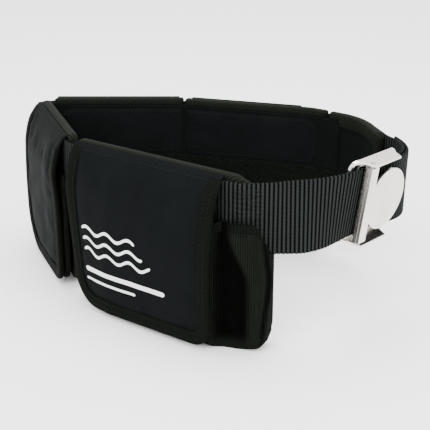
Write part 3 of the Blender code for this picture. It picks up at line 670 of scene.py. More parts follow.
def tape_profile(thickness, crown=0.15):
    """Round-folded section of a binding tape: (reach in from the edge, offset from the middle)."""
    width = TAPE_WIDTH
    half_in = thickness / 2 + GAP
    half_out = half_in + TAPE
    fold = 0.7
    upper = [(width, half_in + 0.05), (width + 0.22, half_in + 0.38), (width - 0.1, half_out - 0.04),
             (width - 1.0, half_out + 0.02), (width - 1.9, half_out - 0.22), (width - 2.8, half_out + 0.02),
             (width * 0.5, half_out + crown), (fold + 1.2, half_out + 0.04)]
    turn = np.radians(np.arange(90, 271, 22.5))
    bend = [(fold + (TAPE_OUT + fold) * math.cos(a), half_out * math.sin(a)) for a in turn]
    lower = [(reach, -offset) for reach, offset in reversed(upper)]
    inside = [(1.5, -half_in), (0.0, -half_in * 0.92), (-GAP, -half_in * 0.5), (-GAP, half_in * 0.5),
              (0.0, half_in * 0.92), (1.5, half_in)]
    return upper + bend + lower + inside


def tape_piece(name, outlines, offsets, spot, material, closed):
    """Tape whose section points each follow their own outline; spot(points, offset) is the place."""
    rings = np.stack([spot(outline, offset) for outline, offset in zip(outlines, offsets)], axis=1)
    middle = rings.mean(axis=1)
    along = np.concatenate([[0.0], np.cumsum(np.linalg.norm(np.diff(middle, axis=0), axis=1))]) / MM
    width = np.linalg.norm(np.diff(rings[0], axis=0), axis=1) / MM
    across = np.concatenate([[0.0], np.cumsum(width)])
    uv = np.stack(np.meshgrid(along, across, indexing="ij"), axis=-1)
    return tube(name, rings, uv, material, closed)


# ------------------------------------------------------------------ panels

def panel_top(name, s):
    if name == "front_left":
        return PANEL_TOP - (PANEL_TOP - WING_TOP) * smooth(s, WING_START, WING_END)
    if name == "right":
        return SIDE_TOP + (PANEL_TOP - SIDE_TOP) * np.minimum(np.asarray(s) / 50.0, 1.0)
    return np.full(np.shape(s), PANEL_TOP)


def panel_foot(name, s):
    if name == "right":
        return SIDE_LOW - (SIDE_LOW - SIDE_FOOT) * smooth(s, *SIDE_TAPER)
    return np.full(np.shape(s), PANEL_BOTTOM)


def lower_corner(name, near):
    return PANEL_CORNER_TOP if name == "right" and near else PANEL_CORNER


def upper_corner(name, near):
    """The rear panels' top edges meet in one line at their middle seam and at their outer ends."""
    return 1.0 if (name, near) in JOINED else PANEL_CORNER_TOP


JOINED = {("rear_right", False), ("rear_left", True), ("rear_right", True), ("right", False)}


def panel_ends(name, unit):
    """Ends of a panel's cloth along the run; joined panels reach to each other."""
    low, high = TAPE_OUT, unit["length"] - TAPE_OUT
    return low - (0.9 if (name, True) in JOINED else 0.0), high + (0.9 if (name, False) in JOINED else 0.0)


def arc(s, z, radius, start, steps=8):
    turn = np.radians(start + 90.0 * np.arange(steps + 1) / steps)
    return np.stack([s + radius * np.cos(turn), z + radius * np.sin(turn)], axis=-1)


def panel_outline(name, unit, inset):
    """The panel's outline set in by a distance, the same count of points for every inset."""
    low, high = panel_ends(name, unit)

    def corner(s, z, radius, start):
        held = max(radius - inset, 0.8)
        reach = inset + held
        return arc(s + (reach if 90 <= start < 270 else -reach), z + (reach if start >= 180 else -reach),
                   held, start)

    def edge(height, near, far, side):
        start, end = low + max(near, TAPE_WIDTH + 0.8), high - max(far, TAPE_WIDTH + 0.8)
        s = np.linspace(start, end, max(3, int((end - start) / 1.5)))[1:-1]
        slope = np.hypot(1.0, height(name, s + 0.5) - height(name, s - 0.5))
        return np.stack([s, height(name, s) + side * inset * slope], axis=-1)

    near, far = lower_corner(name, True), lower_corner(name, False)
    near_top, far_top = upper_corner(name, True), upper_corner(name, False)
    return np.concatenate([
        corner(low, float(panel_foot(name, low)), near, 180), edge(panel_foot, near, far, 1),
        corner(high, float(panel_foot(name, high)), far, 270),
        corner(high, float(panel_top(name, high)), far_top, 0),
        edge(panel_top, near_top, far_top, -1)[::-1],
        corner(low, float(panel_top(name, low)), near_top, 90)])


def edge_distance(s, low, high, z, bottom, top):
    """How far each place lies in from the nearest edge."""
    return np.minimum(np.minimum(s - low, high - s), np.minimum(z - bottom, top - z))


def spacer_below(piece, height):
    """The lower part of a lining is spacer mesh, its second material."""
    for face in piece.data.polygons:
        if face.center.z < height * MM:
            face.material_index = 1


def make_panel(name, unit):
    """Foam panel: pulled flat under its tape and crowned between, with sewn lines on the rear ones."""
    low, high = panel_ends(name, unit)
    s = np.linspace(low, high, int((high - low) / 2.2))
    v = np.linspace(0.0, 1.0, 56)
    rise = []
    for corner in (lower_corner, upper_corner):
        near, far = corner(name, True), corner(name, False)
        lift = np.zeros_like(s)
        for distance, radius in ((s - low, near), (high - s, far)):
            inside = np.clip(radius - distance, 0.0, radius)
            lift = np.maximum(lift, radius - np.sqrt(radius ** 2 - inside ** 2))
        rise.append(lift)
    bottom, top = panel_foot(name, s) + rise[0], panel_top(name, s) - rise[1]
    z = bottom[:, None] + (top - bottom)[:, None] * v
    across = np.broadcast_to(s[:, None], z.shape)
    edge = edge_distance(across, low, high, z, bottom[:, None], top[:, None])
    crown = smooth(edge, 7.0, 20.0)
    uneven = waves(len(name), across, z, 22.0)
    outer = PANEL_HALF + crown * (0.45 + 0.25 * uneven)
    inner = PANEL_HALF + crown * (1.0 + 0.45 * waves(len(name) + 7, across, z, 26.0))
    if name.startswith("rear"):
        seam = sum(np.exp(-((z - height) / 1.1) ** 2) for height in (PAD_LOW - 2.2, PAD_HIGH + 1.6))
        inner = np.where(z > PAD_LOW - 2.5, np.minimum(inner, PANEL_HALF + 0.9 * crown),
                         inner + 0.5 * crown)
        inner -= 0.9 * np.clip(seam, 0, 1) * crown
    front, back = place(unit, across, outer, z), place(unit, across, -inner, z)
    back = flip_settle(back, edge < 9.5, 1.5, 0.012, 0.5, 0.8 if name.startswith("rear") else 1.6)
    made = shell(f"{name}_panel_cloth", front, back, np.stack([across, z], axis=-1),
                 [PANEL_CLOTH, SPACER_CLOTH])
    if name.startswith("rear"):
        spacer_below(made, PAD_LOW - 2.2)
    return made


def flip_settle(grid, pinned, push, grow, low, high):
    """settle for a face that looks into the belt."""
    return settle(grid[::-1], pinned[::-1], push, grow, low, high)[::-1]


def make_panel_tape(name, unit):
    profile = tape_profile(PANEL_HALF * 2)
    outlines = [panel_outline(name, unit, reach) for reach, _ in profile]
    offsets = [offset for _, offset in profile]
    return tape_piece(f"{name}_panel_tape", outlines, offsets,
                      lambda points, offset: place(unit, points[:, 0], offset, points[:, 1]),
                      BRAID_CLOTH, True)


def panel_seams(name, unit):
    parts = []
    outline = panel_outline(name, unit, TAPE_WIDTH - 1.9)
    loop = np.concatenate([outline, outline[:1]])
    for side in (1, -1):
        offset = side * (PANEL_HALF + TAPE_OUT - 0.1)
        path = place(unit, loop[:, 0], offset, loop[:, 1])
        parts += sewn_row(path, outward(unit, loop[:, 0]) * side)
    return parts


# ------------------------------------------------------------------ pouches

def filled(unit, s):
    (first, least), (last, most) = unit["fill"]
    share = np.clip((np.asarray(s, float) - first) / (last - first), 0.0, 1.0)
    return (POUCH_DEPTH - POUCH_BACK) * (least + (most - least) * share)


def mouth_height(name, unit, s):
    if name != "front_left":
        return np.full(np.shape(s), POUCH_MOUTH)
    return POUCH_MOUTH - 21.0 * smooth(s, 148.0, unit["pouch"][1])


def pouch_front(name, unit, s, z):
    """How far out the pouch's front hangs; the front left gusset is slack past its flap."""
    share = np.interp(z, POUCH_HEIGHTS, POUCH_SHARES)
    reach = filled(unit, s)
    if name == "front_left":
        low = 1.0 - z / POUCH_MOUTH
        slack = 1.0 - 0.70 * smooth(s, 127.0, 139.0) + 0.40 * smooth(s, 140.0 + 3.0 * low, 150.0)
        slack = slack - 0.42 * smooth(s, 153.0, 162.0)
        reach = reach * slack
    return POUCH_BACK + reach * share


def waver(name, s, z):
    """Unevenness of a pouch's front, in mm."""
    return 0.55 * waves(3 + len(name), s, z, 19.0) + 0.35 * waves(11 + len(name), s, z * 0.35, 7.0)


def fold_lines(z):
    """Where the slack mesh breaks past the flap, and where it creases before its far seam."""
    return 137.5 + 9.0 * smooth(-z, -86.0, -46.0), 156.5 + 4.2 * np.exp(-((z - 50.0) / 28.0) ** 2)


def gusset_folds(s, z):
    """Hanging folds of the slack mesh, in mm outwards."""
    line, crease = fold_lines(z)
    folds = 3.4 * np.exp(-((s - line - 2.2) / 2.0) ** 2) * smooth(z, 12.0, 40.0)
    folds -= 6.5 * smooth(s, 131.0, 135.0) * (1 - smooth(s, line - 4.0, line + 0.6))
    folds += 2.0 * np.exp(-((s - crease) / 1.5) ** 2) - 3.0 * np.exp(-((s - crease + 3.4) / 1.9) ** 2)
    return smooth(s, 130.0, 134.0) * smooth(z, 5.0, 18.0) * folds


def gusset_painted_shade(s, z):
    """Painted shade: share of each place that lies deep in a fold, where light doesn't reach; it darkens the stretch
    mesh there.
    """
    line, crease = fold_lines(z)
    deep = 0.9 * smooth(s, 130.0, 133.0) * (1 - smooth(s, line - 2.5, line + 0.8)) * smooth(z, 2.0, 12.0)
    return np.clip(deep + 0.7 * np.exp(-((s - crease + 2.6) / 1.4) ** 2) * smooth(s, 140.0, 146.0), 0.0, 1.0)


def make_pouch(name, unit):
    start, end = unit["pouch"]
    heights = np.concatenate([np.linspace(0.0, 17.0, 15), np.linspace(20.0, POUCH_MOUTH, 30)])
    corner = 1.9 if name == "left" else 1.0
    turn = np.radians(np.linspace(0.0, 90.0, 7))[1:]
    rings, cloth = [], []

    def ring(height, wall):
        draw = np.interp(height, POUCH_HEIGHTS, POUCH_DRAWS) * corner + wall
        left, right = start + draw, end - draw
        side = 7.0
        run = np.concatenate([[0.0, 0.0], side * (1 - np.cos(turn))])
        part = np.concatenate([[0.0, 0.35], 0.35 + 0.65 * np.sin(turn)])
        between = np.linspace(left + side, right - side, int((end - start) / 1.3))[1:-1]
        s = np.concatenate([left + run, between, (right - run)[::-1], between[::-4]])
        part = np.concatenate([part, np.ones(len(between)), part[::-1], np.zeros(len(between[::-4]))])
        rise = np.full(len(s), height) * mouth_height(name, unit, s) / POUCH_MOUTH
        if wall:
            rise = np.maximum(rise, POUCH_WALL)
        front = pouch_front(name, unit, s, height)
        full = smooth(height, 3.0, 16.0) * part
        front = front + full * waver(name, s, rise)
        if name == "front_left":
            front = front + part * gusset_folds(s, rise)
        back = POUCH_BACK + wall
        front = np.maximum(front - wall, back + 0.8)
        return (place(unit, s, back + (front - back) * part, rise),
                np.stack([s + (part - 1) * 8.0, rise], axis=-1))

    inner = [h for h in heights[::-1] if h > 2.0]
    for height, wall in [(h, 0.0) for h in heights] + [(h, POUCH_WALL) for h in inner]:
        points, uv = ring(height, wall)
        rings.append(points)
        cloth.append(uv)
    made = tube(f"{name}_pouch_cloth", np.stack(rings), np.stack(cloth), MESH_CLOTH)
    # the front left gusset stores its painted shade per point, deep in its folds
    if name == "front_left":
        sewn = np.stack(cloth).reshape(-1, 2)
        painted_fold_shade = made.data.attributes.new("painted_fold_shade", "FLOAT", "POINT")
        values = np.zeros(len(made.data.vertices), np.float32)
        values[:len(sewn)] = gusset_painted_shade(sewn[:, 0], sewn[:, 1])
        painted_fold_shade.data.foreach_set("value", values)
    return made


def make_pouch_hem(name, unit):
    """Folded tape along the pouch's mouth, on its front and its sides."""
    start, end = unit["pouch"]
    s = np.linspace(start + 9.0, end - 9.0, int((end - start) / 1.2))
    top = mouth_height(name, unit, s)
    front = pouch_front(name, unit, s, POUCH_MOUTH)
    front = front + waver(name, s, top)
    if name == "front_left":
        front = front + gusset_folds(s, top)
    profile = ((0.9, -7.0), (1.2, -6.7), (1.15, -5.6), (1.0, -5.0), (1.15, -4.4), (1.2, -0.4), (0.9, 0.7),
               (0.0, 1.3), (-1.4, 1.3), (-2.3, 0.7), (-2.5, -0.4), (-2.4, -6.5), (-1.9, -6.8), (-1.8, -0.2),
               (-1.2, 0.35), (0.0, 0.35), (0.45, -0.2), (0.5, -6.8))
    rings = np.stack([place(unit, s, front + out * 0.62 + 0.25, top + up) for out, up in profile], axis=1)
    across = np.concatenate([[0.0], np.cumsum(np.hypot(*np.diff(np.array(profile), axis=0).T))])
    uv = np.stack(np.meshgrid(s, across, indexing="ij"), axis=-1)
    hem = tube(f"{name}_pouch_hem", rings, uv, TAPE_CLOTH)
    path = place(unit, s, front + 0.98, top - 5.0)
    return hem, sewn_row(path, outward(unit, s))


# ------------------------------------------------------------------ flaps

SHARES = np.linspace(0.0, 1.0, 200)
FALLS = (1 - SHOULDER_SLOPE) * (1 - np.cos(SHARES * math.pi / 2)) + SHOULDER_SLOPE * SHARES


def flap_offset(unit, s, z):
    """Outward place of a flap's middle line at a height: round shoulder, then hanging straight."""
    span = filled(unit, s)
    shoulder = SHOULDER_EMPTY + SHOULDER_GROWTH * span
    drop = (HINGE_HEIGHT - np.asarray(z, float)) / (HINGE_HEIGHT - POUCH_MOUTH)
    share = np.interp(drop, FALLS, SHARES)
    out = (1 - SHOULDER_SLOPE) * np.sin(share * math.pi / 2) + SHOULDER_SLOPE * share
    above = HINGE_OFFSET + (shoulder - HINGE_OFFSET) * out
    hanging = POUCH_BACK + span + FLAP_CLEAR
    below = hanging + (shoulder - hanging) * np.clip((np.asarray(z, float) - 56.0) / 34.0, 0.0, 1.0) ** 1.5
    return np.where(np.asarray(z, float) > POUCH_MOUTH, above, below)


def on_flap(unit, s, z, side):
    """World point on a flap: s along the run before its taper, height z, side mm off its middle."""
    s, z, side = np.broadcast_arrays(np.asarray(s, float), np.asarray(z, float), np.asarray(side, float))
    left, right = unit["flap"]
    s = s + unit["taper"] * (1 - smooth(z, FLAP_BOTTOM, 100.0)) * np.clip((right - s) / (right - left), 0, 1)
    slope = (flap_offset(unit, s, z + 0.2) - flap_offset(unit, s, z - 0.2)) / 0.4
    size = np.hypot(1.0, slope)
    return place(unit, s, flap_offset(unit, s, z) + side / size, z - side * slope / size)


def flap_normal(unit, s, z):
    return (on_flap(unit, s, z, 1.0) - on_flap(unit, s, z, 0.0)) / MM


def flap_ends(unit, z):
    """Left and right edges of the flap's cloth at a height, with its rounded lower corners."""
    left, right = unit["flap"]
    ends = []
    for end, inwards, radius in ((left, 1, unit["corners"][0]), (right, -1, unit["corners"][1])):
        rise = np.clip(FLAP_BOTTOM + radius - z, 0.0, radius)
        ends.append(end + inwards * (TAPE_OUT + radius - np.sqrt(radius ** 2 - rise ** 2)))
    return ends


def flap_outline(unit, inset):
    """Down the left edge, along the foot and up the right edge, set in by a distance."""
    left, right = unit["flap"]
    left, right = left + TAPE_OUT + inset, right - TAPE_OUT - inset
    foot, top = FLAP_BOTTOM + inset, 118.6
    near, far = [radius - inset for radius in unit["corners"]]
    down = np.linspace(top, foot + near, 70)[:-1]
    up = np.linspace(foot + far, top, 70)[1:]
    along = np.linspace(left + near, right - far, 60)[1:-1]
    return np.concatenate([
        np.stack([np.full_like(down, left), down], axis=-1), arc(left + near, foot + near, near, 180, 14),
        np.stack([along, np.full_like(along, foot)], axis=-1), arc(right - far, foot + far, far, 270, 10),
        np.stack([np.full_like(up, right), up], axis=-1)])


def flap_skin(name, unit, s, z):
    """How far the flap's outer face stands off its middle line."""
    left, right = flap_ends(unit, z)
    edge = np.minimum(np.minimum(s - left, right - s), z - FLAP_BOTTOM)
    crown = smooth(edge, 7.5, 17.0) * smooth(HINGE_HEIGHT - z, 3.0, 16.0)
    return FLAP_HALF + crown * (0.7 + 0.35 * waves(21 + len(name), s, z, 30.0))


def make_flap(name, unit):
    z = np.concatenate([np.linspace(FLAP_BOTTOM, 24.0, 15), np.linspace(24.0, HINGE_HEIGHT, 48)[1:]])
    left, right = flap_ends(unit, z)
    u = np.linspace(0.0, 1.0, int((right.max() - left.min()) / 2.0))
    s = left + (right - left) * u[:, None]
    height = np.broadcast_to(z, s.shape)
    left, right = [np.broadcast_to(end, s.shape) for end in (left, right)]
    edge = np.minimum(np.minimum(s - left, right - s), height - FLAP_BOTTOM)
    front = on_flap(unit, s, height, flap_skin(name, unit, s, height))
    pinned = (edge < 8.5) | (height > HINGE_HEIGHT - 5.0)
    front = settle(front, pinned, 1.6, 0.010, 0.3, 1.3)
    back = on_flap(unit, s, height, -FLAP_HALF + 0 * s)
    return shell(f"{name}_flap_cloth", front, back, np.stack([s, height], axis=-1), SHELL_CLOTH)


def make_flap_tape(name, unit):
    profile = tape_profile(FLAP_HALF * 2, crown=0.28)
    outlines = [flap_outline(unit, reach) for reach, _ in profile]
    offsets = [offset for _, offset in profile]

    def spot(points, offset):
        """Near the seam the tape's inner side is pressed flat against the panel."""
        s, z = points.T
        room = (flap_offset(unit, s, z) - PANEL_HALF - TAPE_OUT - 0.25) * 0.8
        thin = offset * (1 - 0.45 * smooth(z, 108.0, 117.0))
        return on_flap(unit, s, z, np.maximum(thin, -np.where(z > 112.0, room, 99.0)))

    made = tape_piece(f"{name}_flap_tape", outlines, offsets, spot, TAPE_CLOTH, False)
    parts = []
    for reach in (TAPE_WIDTH - 1.9, 2.6):
        outline = flap_outline(unit, reach)
        for side in (1, -1):
            offset = side * (FLAP_HALF + TAPE_OUT - (0.1 if reach > 4 else -0.05))
            outline_here = outline[outline[:, 1] < 114.0]
            path = on_flap(unit, outline_here[:, 0], outline_here[:, 1], offset)
            parts += sewn_row(path, flap_normal(unit, outline_here[:, 0], outline_here[:, 1]) * side)
    return made, parts


def seam_row(unit, z, clear):
    left, right = unit["flap"]
    s = np.linspace(left + 3.0, right - 3.0, 120)
    path = on_flap(unit, s, np.full_like(s, z), FLAP_HALF + clear)
    return sewn_row(path, flap_normal(unit, s, np.full_like(s, z)))


def flap_hinge(unit):
    """Start and end of the stretch below the seam over which a flap's cloth bends."""
    left, right = unit["flap"]
    middle = (left + right) / 2
    start = place(unit, middle, HINGE_OFFSET, HINGE_HEIGHT)
    end = place(unit, middle, flap_offset(unit, middle, BEND_HEIGHT), BEND_HEIGHT)
    return start.tolist(), end.tolist()


def make_strip(name, unit, kind):
    """Hook strip inside the flap, or loop strip on the pouch: a thin pile pad, sewn round its edge."""
    left, right = unit["flap"]
    low, high = left + unit["taper"] + TAPE_WIDTH + 3.0, right - TAPE_WIDTH - 3.0
    s = np.linspace(low, high, int((high - low) / 1.6))[:, None]
    z = np.linspace(STRIP_LOW, STRIP_HIGH, 18)[None, :]
    s, z = np.broadcast_arrays(s, z)
    edge = edge_distance(s, low, high, z, STRIP_LOW, STRIP_HIGH)
    pile = 0.12 * waves(5, s, z, 1.9, 14) * smooth(edge, 1.0, 3.0)
    face = POUCH_BACK + filled(unit, s)
    if kind == "loop":
        base, out = face + GAP, 0.25 + 0.4 * smooth(edge, -0.5, 1.5) + pile
        front, back = place(unit, s, base + out, z), place(unit, s, base, z)
    else:
        base, out = face + FLAP_CLEAR - FLAP_HALF - 0.05, 0.30 + 0.4 * smooth(edge, -0.5, 1.5) + pile
        front, back = place(unit, s, base, z), place(unit, s, base - out, z)
    return shell(f"{name}_{kind}_pile", front, back, np.stack([s, z], axis=-1), PILE_CLOTH)


def make_print(unit):
    """Plain screen print on the front flap: three rolling lines over two bars, 0.1 mm thick."""
    lines = [(17.0, 70.0 + 7.0 * i, 64.0 - 8.0 * i, 2.2, 2.0) for i in range(3)]
    lines += [(17.0, 96.0, 34.0, 3.4, 0.0), (17.0, 68.0, 26.5, 1.9, 0.0)]
    parts = []
    for low, high, height, width, swing in lines:
        s = np.linspace(low, high, 110)
        z = height + swing * np.sin((s - low) * math.tau / 21.0)
        half = 0.5 * width * np.sqrt(np.clip(np.minimum(s - low, high - s) / (0.5 * width) + 0.02, 0, 1))
        corners = ((-1, 0.0), (-1, 0.12), (-0.33, 0.14), (0.33, 0.14), (1, 0.12), (1, 0.0))
        rings = np.stack([on_flap(unit, s, z + side * half, flap_skin("front_left", unit, s, z + side * half)
                                  + lift) for side, lift in corners], axis=1)
        faces = tube_faces(*rings.shape[:2])
        cloth = np.zeros((rings.shape[0] * rings.shape[1], 3))
        cloth[:, 0] = np.repeat(s, len(corners))
        cloth[:, 1] = (z[:, None] + np.array([side for side, _ in corners]) * half[:, None]).reshape(-1)
        parts.append((rings.reshape(-1, 3), faces, cloth))
    return make_thread("front_left_print", parts, PRINT)


# ------------------------------------------------------------------ pads

def make_pad(name, unit, low, high, near_end, far_end):
    """Crowned waist pad, sewn to the inner face of a rear panel: one end rounded, one at the seam."""
    turn = np.radians(np.linspace(0, 90, 12))
    s = np.concatenate([low + near_end * (1 - np.cos(turn))[:-1],
                        np.linspace(low + near_end, high - far_end, int((high - low) / 2.0)),
                        high - far_end * (1 - np.cos(turn[::-1]))[1:]])
    pull = np.zeros_like(s)
    for distance, reach in ((s - low, near_end), (high - s, far_end)):
        share = np.clip(distance / reach, 0, 1)
        pull = np.maximum(pull, 0.72 * reach * (1 - np.sqrt(share * (2 - share))))
    v = (1 - np.cos(np.linspace(0, math.pi, 34))) / 2
    z = (PAD_LOW + pull)[:, None] + (PAD_HIGH - PAD_LOW - 2 * pull)[:, None] * v
    across = np.broadcast_to(s[:, None], z.shape)
    edge = edge_distance(across, low, high, z, (PAD_LOW + pull)[:, None], (PAD_HIGH - pull)[:, None])
    crown = np.sqrt(np.clip(edge / 9.0, 0, 1) * (2 - np.clip(edge / 9.0, 0, 1)))
    pucker = 0.22 * np.sin(across * math.tau / 6.3 + waves(2, across, z, 30.0) * 2) * np.exp(-edge / 4.0)
    lift = 0.35 + crown * (1.5 + 0.25 * waves(4, across, z, 24.0)) + pucker * (edge > 0.5)
    face = -PANEL_HALF - TAPE_OUT - 0.8
    front = place(unit, across, np.full_like(z, face), z)
    back = place(unit, across, face - lift, z)
    back = flip_settle(back, edge < 1.5, 2.5, 0.010, 0.3, 1.1)
    made = shell(f"{name}_cushion", front, back, np.stack([across, z], axis=-1), SHELL_CLOTH)
    loop_s = np.concatenate([s, s[::-1]])
    loop_z = np.concatenate([PAD_LOW + pull + 1.7, (PAD_HIGH - pull - 1.7)[::-1]])
    path = place(unit, loop_s, np.full_like(loop_s, face - 1.35), loop_z)
    half = len(s)
    parts = sewn_row(path[4:half - 4], -outward(unit, loop_s[4:half - 4]))
    parts += sewn_row(path[half + 4:-4], -outward(unit, loop_s[half + 4:-4]))
    return made, parts


def inside_path():
    """Stations of the rear lining: (unit, s) from the side panel's end round to the left corner."""
    found = []
    for name, low, high in (("right", 55.0, 62.0), ("rear_right", 2.5, 115.5), ("rear_left", 1.5, 104.5)):
        for s in np.linspace(low, high, max(4, int((high - low) / 2.0))):
            found.append((name, s))
    return found


def make_lining():
    """Fabric lining over the inner faces of both rear panels, with its upright seam in the middle."""
    level = np.concatenate([np.linspace(LINING_LOW, 74.0, 34), np.linspace(74.0, LINING_HIGH, 26)[1:]])
    rows, along = [], 0.0
    seam_at = None
    last = None
    for name, s in inside_path():
        here = place(UNITS[name], s, -PANEL_HALF, 0.0)
        if last is not None:
            along += float(np.linalg.norm(here - last)) / MM
        last = here
        if name == "rear_left" and seam_at is None:
            seam_at = along - 1.0
        rows.append((name, s, along))
    total = along
    front, back, cloth = [], [], []
    for name, s, distance in rows:
        foot = max(LINING_LOW, float(panel_foot(name, s)) + 4.5)
        z = foot + (level - LINING_LOW) * (LINING_HIGH - foot) / (LINING_HIGH - LINING_LOW)
        edge = edge_distance(distance, 0.0, total, z, LINING_LOW, LINING_HIGH)
        lift = 0.9 * smooth(edge, 0.0, 6.0) * (0.75 + 0.35 * waves(31, distance, z, 34.0))
        seam = np.exp(-((distance - seam_at) / 1.2) ** 2)
        for height in (PAD_LOW - 2.0, PAD_HIGH + 1.5):
            seam = np.maximum(seam, np.exp(-((z - height) / 1.0) ** 2))
        lift = lift * (1 - 0.85 * seam)
        face = -PANEL_HALF - TAPE_OUT - 0.35
        front.append(place(UNITS[name], s, face + 0.25, z))
        back.append(place(UNITS[name], s, face - 0.25 - lift, z))
        cloth.append(np.stack([np.full_like(z, distance), z], axis=-1))
    made = shell("rear_lining", np.stack(front), np.stack(back), np.stack(cloth), [PANEL_CLOTH, SPACER_CLOTH])
    spacer_below(made, PAD_LOW - 2.0)
    parts = []
    for height in (PAD_LOW - 3.1, PAD_HIGH + 2.6):
        spots = [place(UNITS[name], s, -PANEL_HALF - TAPE_OUT - 1.05, height) for name, s, _ in rows[2:-2]]
        parts += sewn_row(spots, [-outward(UNITS[name], s) for name, s, _ in rows[2:-2]])
    return made, parts


# ------------------------------------------------------------------ webbing

def buckle_matrix():
    base = Matrix.Translation(Vector(to_world(*BUCKLE_AT)))
    for angle, axis in ((BUCKLE_HEADING, "Z"), (BUCKLE_ROLL, "Y"), (BUCKLE_LEAN, "X")):
        base = base @ Matrix.Rotation(math.radians(angle), 4, axis)
    return base


BUCKLE = buckle_matrix()


def buckle_stop(along, out):
    return BUCKLE @ Vector((along * MM, -out * MM, 0.0)), BUCKLE.to_3x3() @ Vector((0, 0, 1))


def free_stop(x, y, z, heading, lean, roll):
    turn = math.radians(heading)
    along, inwards = Vector((math.cos(turn), math.sin(turn), 0)), Vector((-math.sin(turn), math.cos(turn), 0))
    upright = (Vector((0, 0, 1)) + inwards * math.tan(math.radians(lean))
               + along * math.tan(math.radians(roll)))
    return Vector(to_world(x, y, z)), upright.normalized()


def unit_stops(unit):
    s = np.linspace(1.0, unit["length"] - 1.0, max(4, int(unit["length"] / 9)))
    return [(Vector(p), Vector((0, 0, 1))) for p in place(unit, s, WEBBING_OFFSET, WEBBING_MIDDLE)]


def webbing_route():
    bar = (SLOT_END + FRAME_END) / 2
    bar_out = BASE_OUT - SHEET / 2
    reach = SHEET / 2 + 0.35 + WEBBING_THICK_HALF
    route = [buckle_stop(29.0, bar_out - reach + 0.3), buckle_stop(bar + 2, bar_out - reach)]
    for a in range(270, 89, -30):
        route.append(buckle_stop(SLOT_END - 0.3 + reach * math.cos(math.radians(a)),
                                 bar_out + reach * math.sin(math.radians(a))))
    middle = WEBBING_MIDDLE
    route += [buckle_stop(bar + 1.5, bar_out + reach), free_stop(133.2, -33.6, middle - 0.2, 53, -4, 2),
              free_stop(137.8, -25.8, middle - 0.1, 72, -2, 1), free_stop(139.4, -17.0, middle, 88, 0, 0),
              free_stop(138.0, -7.0, middle, 100, 0, 0)]
    for name in ("right", "rear_right", "rear_left"):
        route += unit_stops(UNITS[name])
    route += [free_stop(-133.8, 103.6, middle, 188, 0, 0), free_stop(-138.6, 100.6, middle, 235, 0, 0),
              free_stop(-140.3, 96.0, middle, 270, 0, 0)]
    for name in ("left", "front_left"):
        route += unit_stops(UNITS[name])
    route += [free_stop(53.0, -98.2, middle, 8, 4, 0), free_stop(61.0, -97.0, middle, 12, 6, 1),
              free_stop(70.0, -94.1, middle, 20, 4, 2), free_stop(79.0, -89.7, middle + 0.2, 29, 0, 2),
              free_stop(87.0, -84.1, middle + 0.5, 39, -4, 2), buckle_stop(-26.0, 0.0)]
    route += [buckle_stop(along, out) for along, out in
              ((-20, 0), (6, 0), (11, 0.8), (17, 2.6), (22, 3.2))]
    route += [free_stop(135.9, -35.6, middle - 0.8, 54, -4, 2),
              free_stop(140.8, -27.0, middle - 0.7, 73, -2, 1),
              free_stop(142.5, -16.8, middle - 0.6, 88, 0, 0), free_stop(141.2, -5.5, middle - 0.6, 101, 0, 0),
              free_stop(138.3, 4.5, middle - 0.5, 108, 0, 0)]
    return route


def curve_through(points, step):
    """Centripetal spline through the stops, read every step mm; values ride along with them."""
    points = np.asarray(points)
    chord = np.linalg.norm(np.diff(points[:, :3], axis=0), axis=1) / MM
    knots = np.concatenate([[0.0], np.cumsum(chord)])
    slopes = np.gradient(points, knots, axis=0)
    before = np.diff(points, axis=0) / chord[:, None]
    slopes[1:-1] = (before[:-1] * chord[1:, None] + before[1:] * chord[:-1, None]) / (
        chord[1:] + chord[:-1])[:, None]
    spots = np.arange(0.0, knots[-1], step)
    i = np.clip(np.searchsorted(knots, spots, side="right") - 1, 0, len(chord) - 1)
    t = ((spots - knots[i]) / chord[i])[:, None]
    run = chord[i][:, None]
    made = ((2 * t ** 3 - 3 * t ** 2 + 1) * points[i] + (t ** 3 - 2 * t ** 2 + t) * run * slopes[i]
            + (3 * t ** 2 - 2 * t ** 3) * points[i + 1] + (t ** 3 - t ** 2) * run * slopes[i + 1])
    return spots, made


def make_webbing():
    """Ribbed belt webbing: round cross ribs, and an edge that shows each turn of the weft."""
    route = webbing_route()
    stops = np.array([[*middle, *upright] for middle, upright in route])
    spots, curve = curve_through(stops, RIB_PITCH / 8)
    middle, up = curve[:, :3], curve[:, 3:]
    way = np.gradient(middle, axis=0)
    up /= np.linalg.norm(up, axis=1, keepdims=True)
    out = np.cross(way, up)
    out /= np.linalg.norm(out, axis=1, keepdims=True)
    phase = (spots / RIB_PITCH) % 1.0
    groove = np.exp(-((np.minimum(phase, 1 - phase)) / 0.13) ** 2)
    rise = np.sqrt(np.clip(1 - (np.abs(phase - 0.5) * 2) ** 2.6, 0, 1))
    thick = WEBBING_THICK_HALF * (0.66 + 0.34 * rise)
    edge = WEBBING_HALF - 0.45 * groove
    section = [(-1.0, 0.35), (-0.985, 0.72), (-0.955, 0.93)]
    section += [(w, 1.0) for w in (-0.92, -0.7, -0.45, -0.2, 0.0, 0.2, 0.45, 0.7, 0.92)]
    section += [(0.955, 0.93), (0.985, 0.72), (1.0, 0.35)]
    ring = section + [(w, -t) for w, t in reversed(section)]
    rings = np.stack([middle + up * (edge * w * MM)[:, None] + out * (thick * t * MM)[:, None]
                      for w, t in ring], axis=1)
    across = np.array([w * WEBBING_HALF + (0 if t > 0 else 60.0) for w, t in ring])
    uv = np.stack(np.meshgrid(spots, across, indexing="ij"), axis=-1)
    made = tube("webbing_weave", rings, uv[..., ::-1], WEB_CLOTH)
    return made, spots, middle, up, out


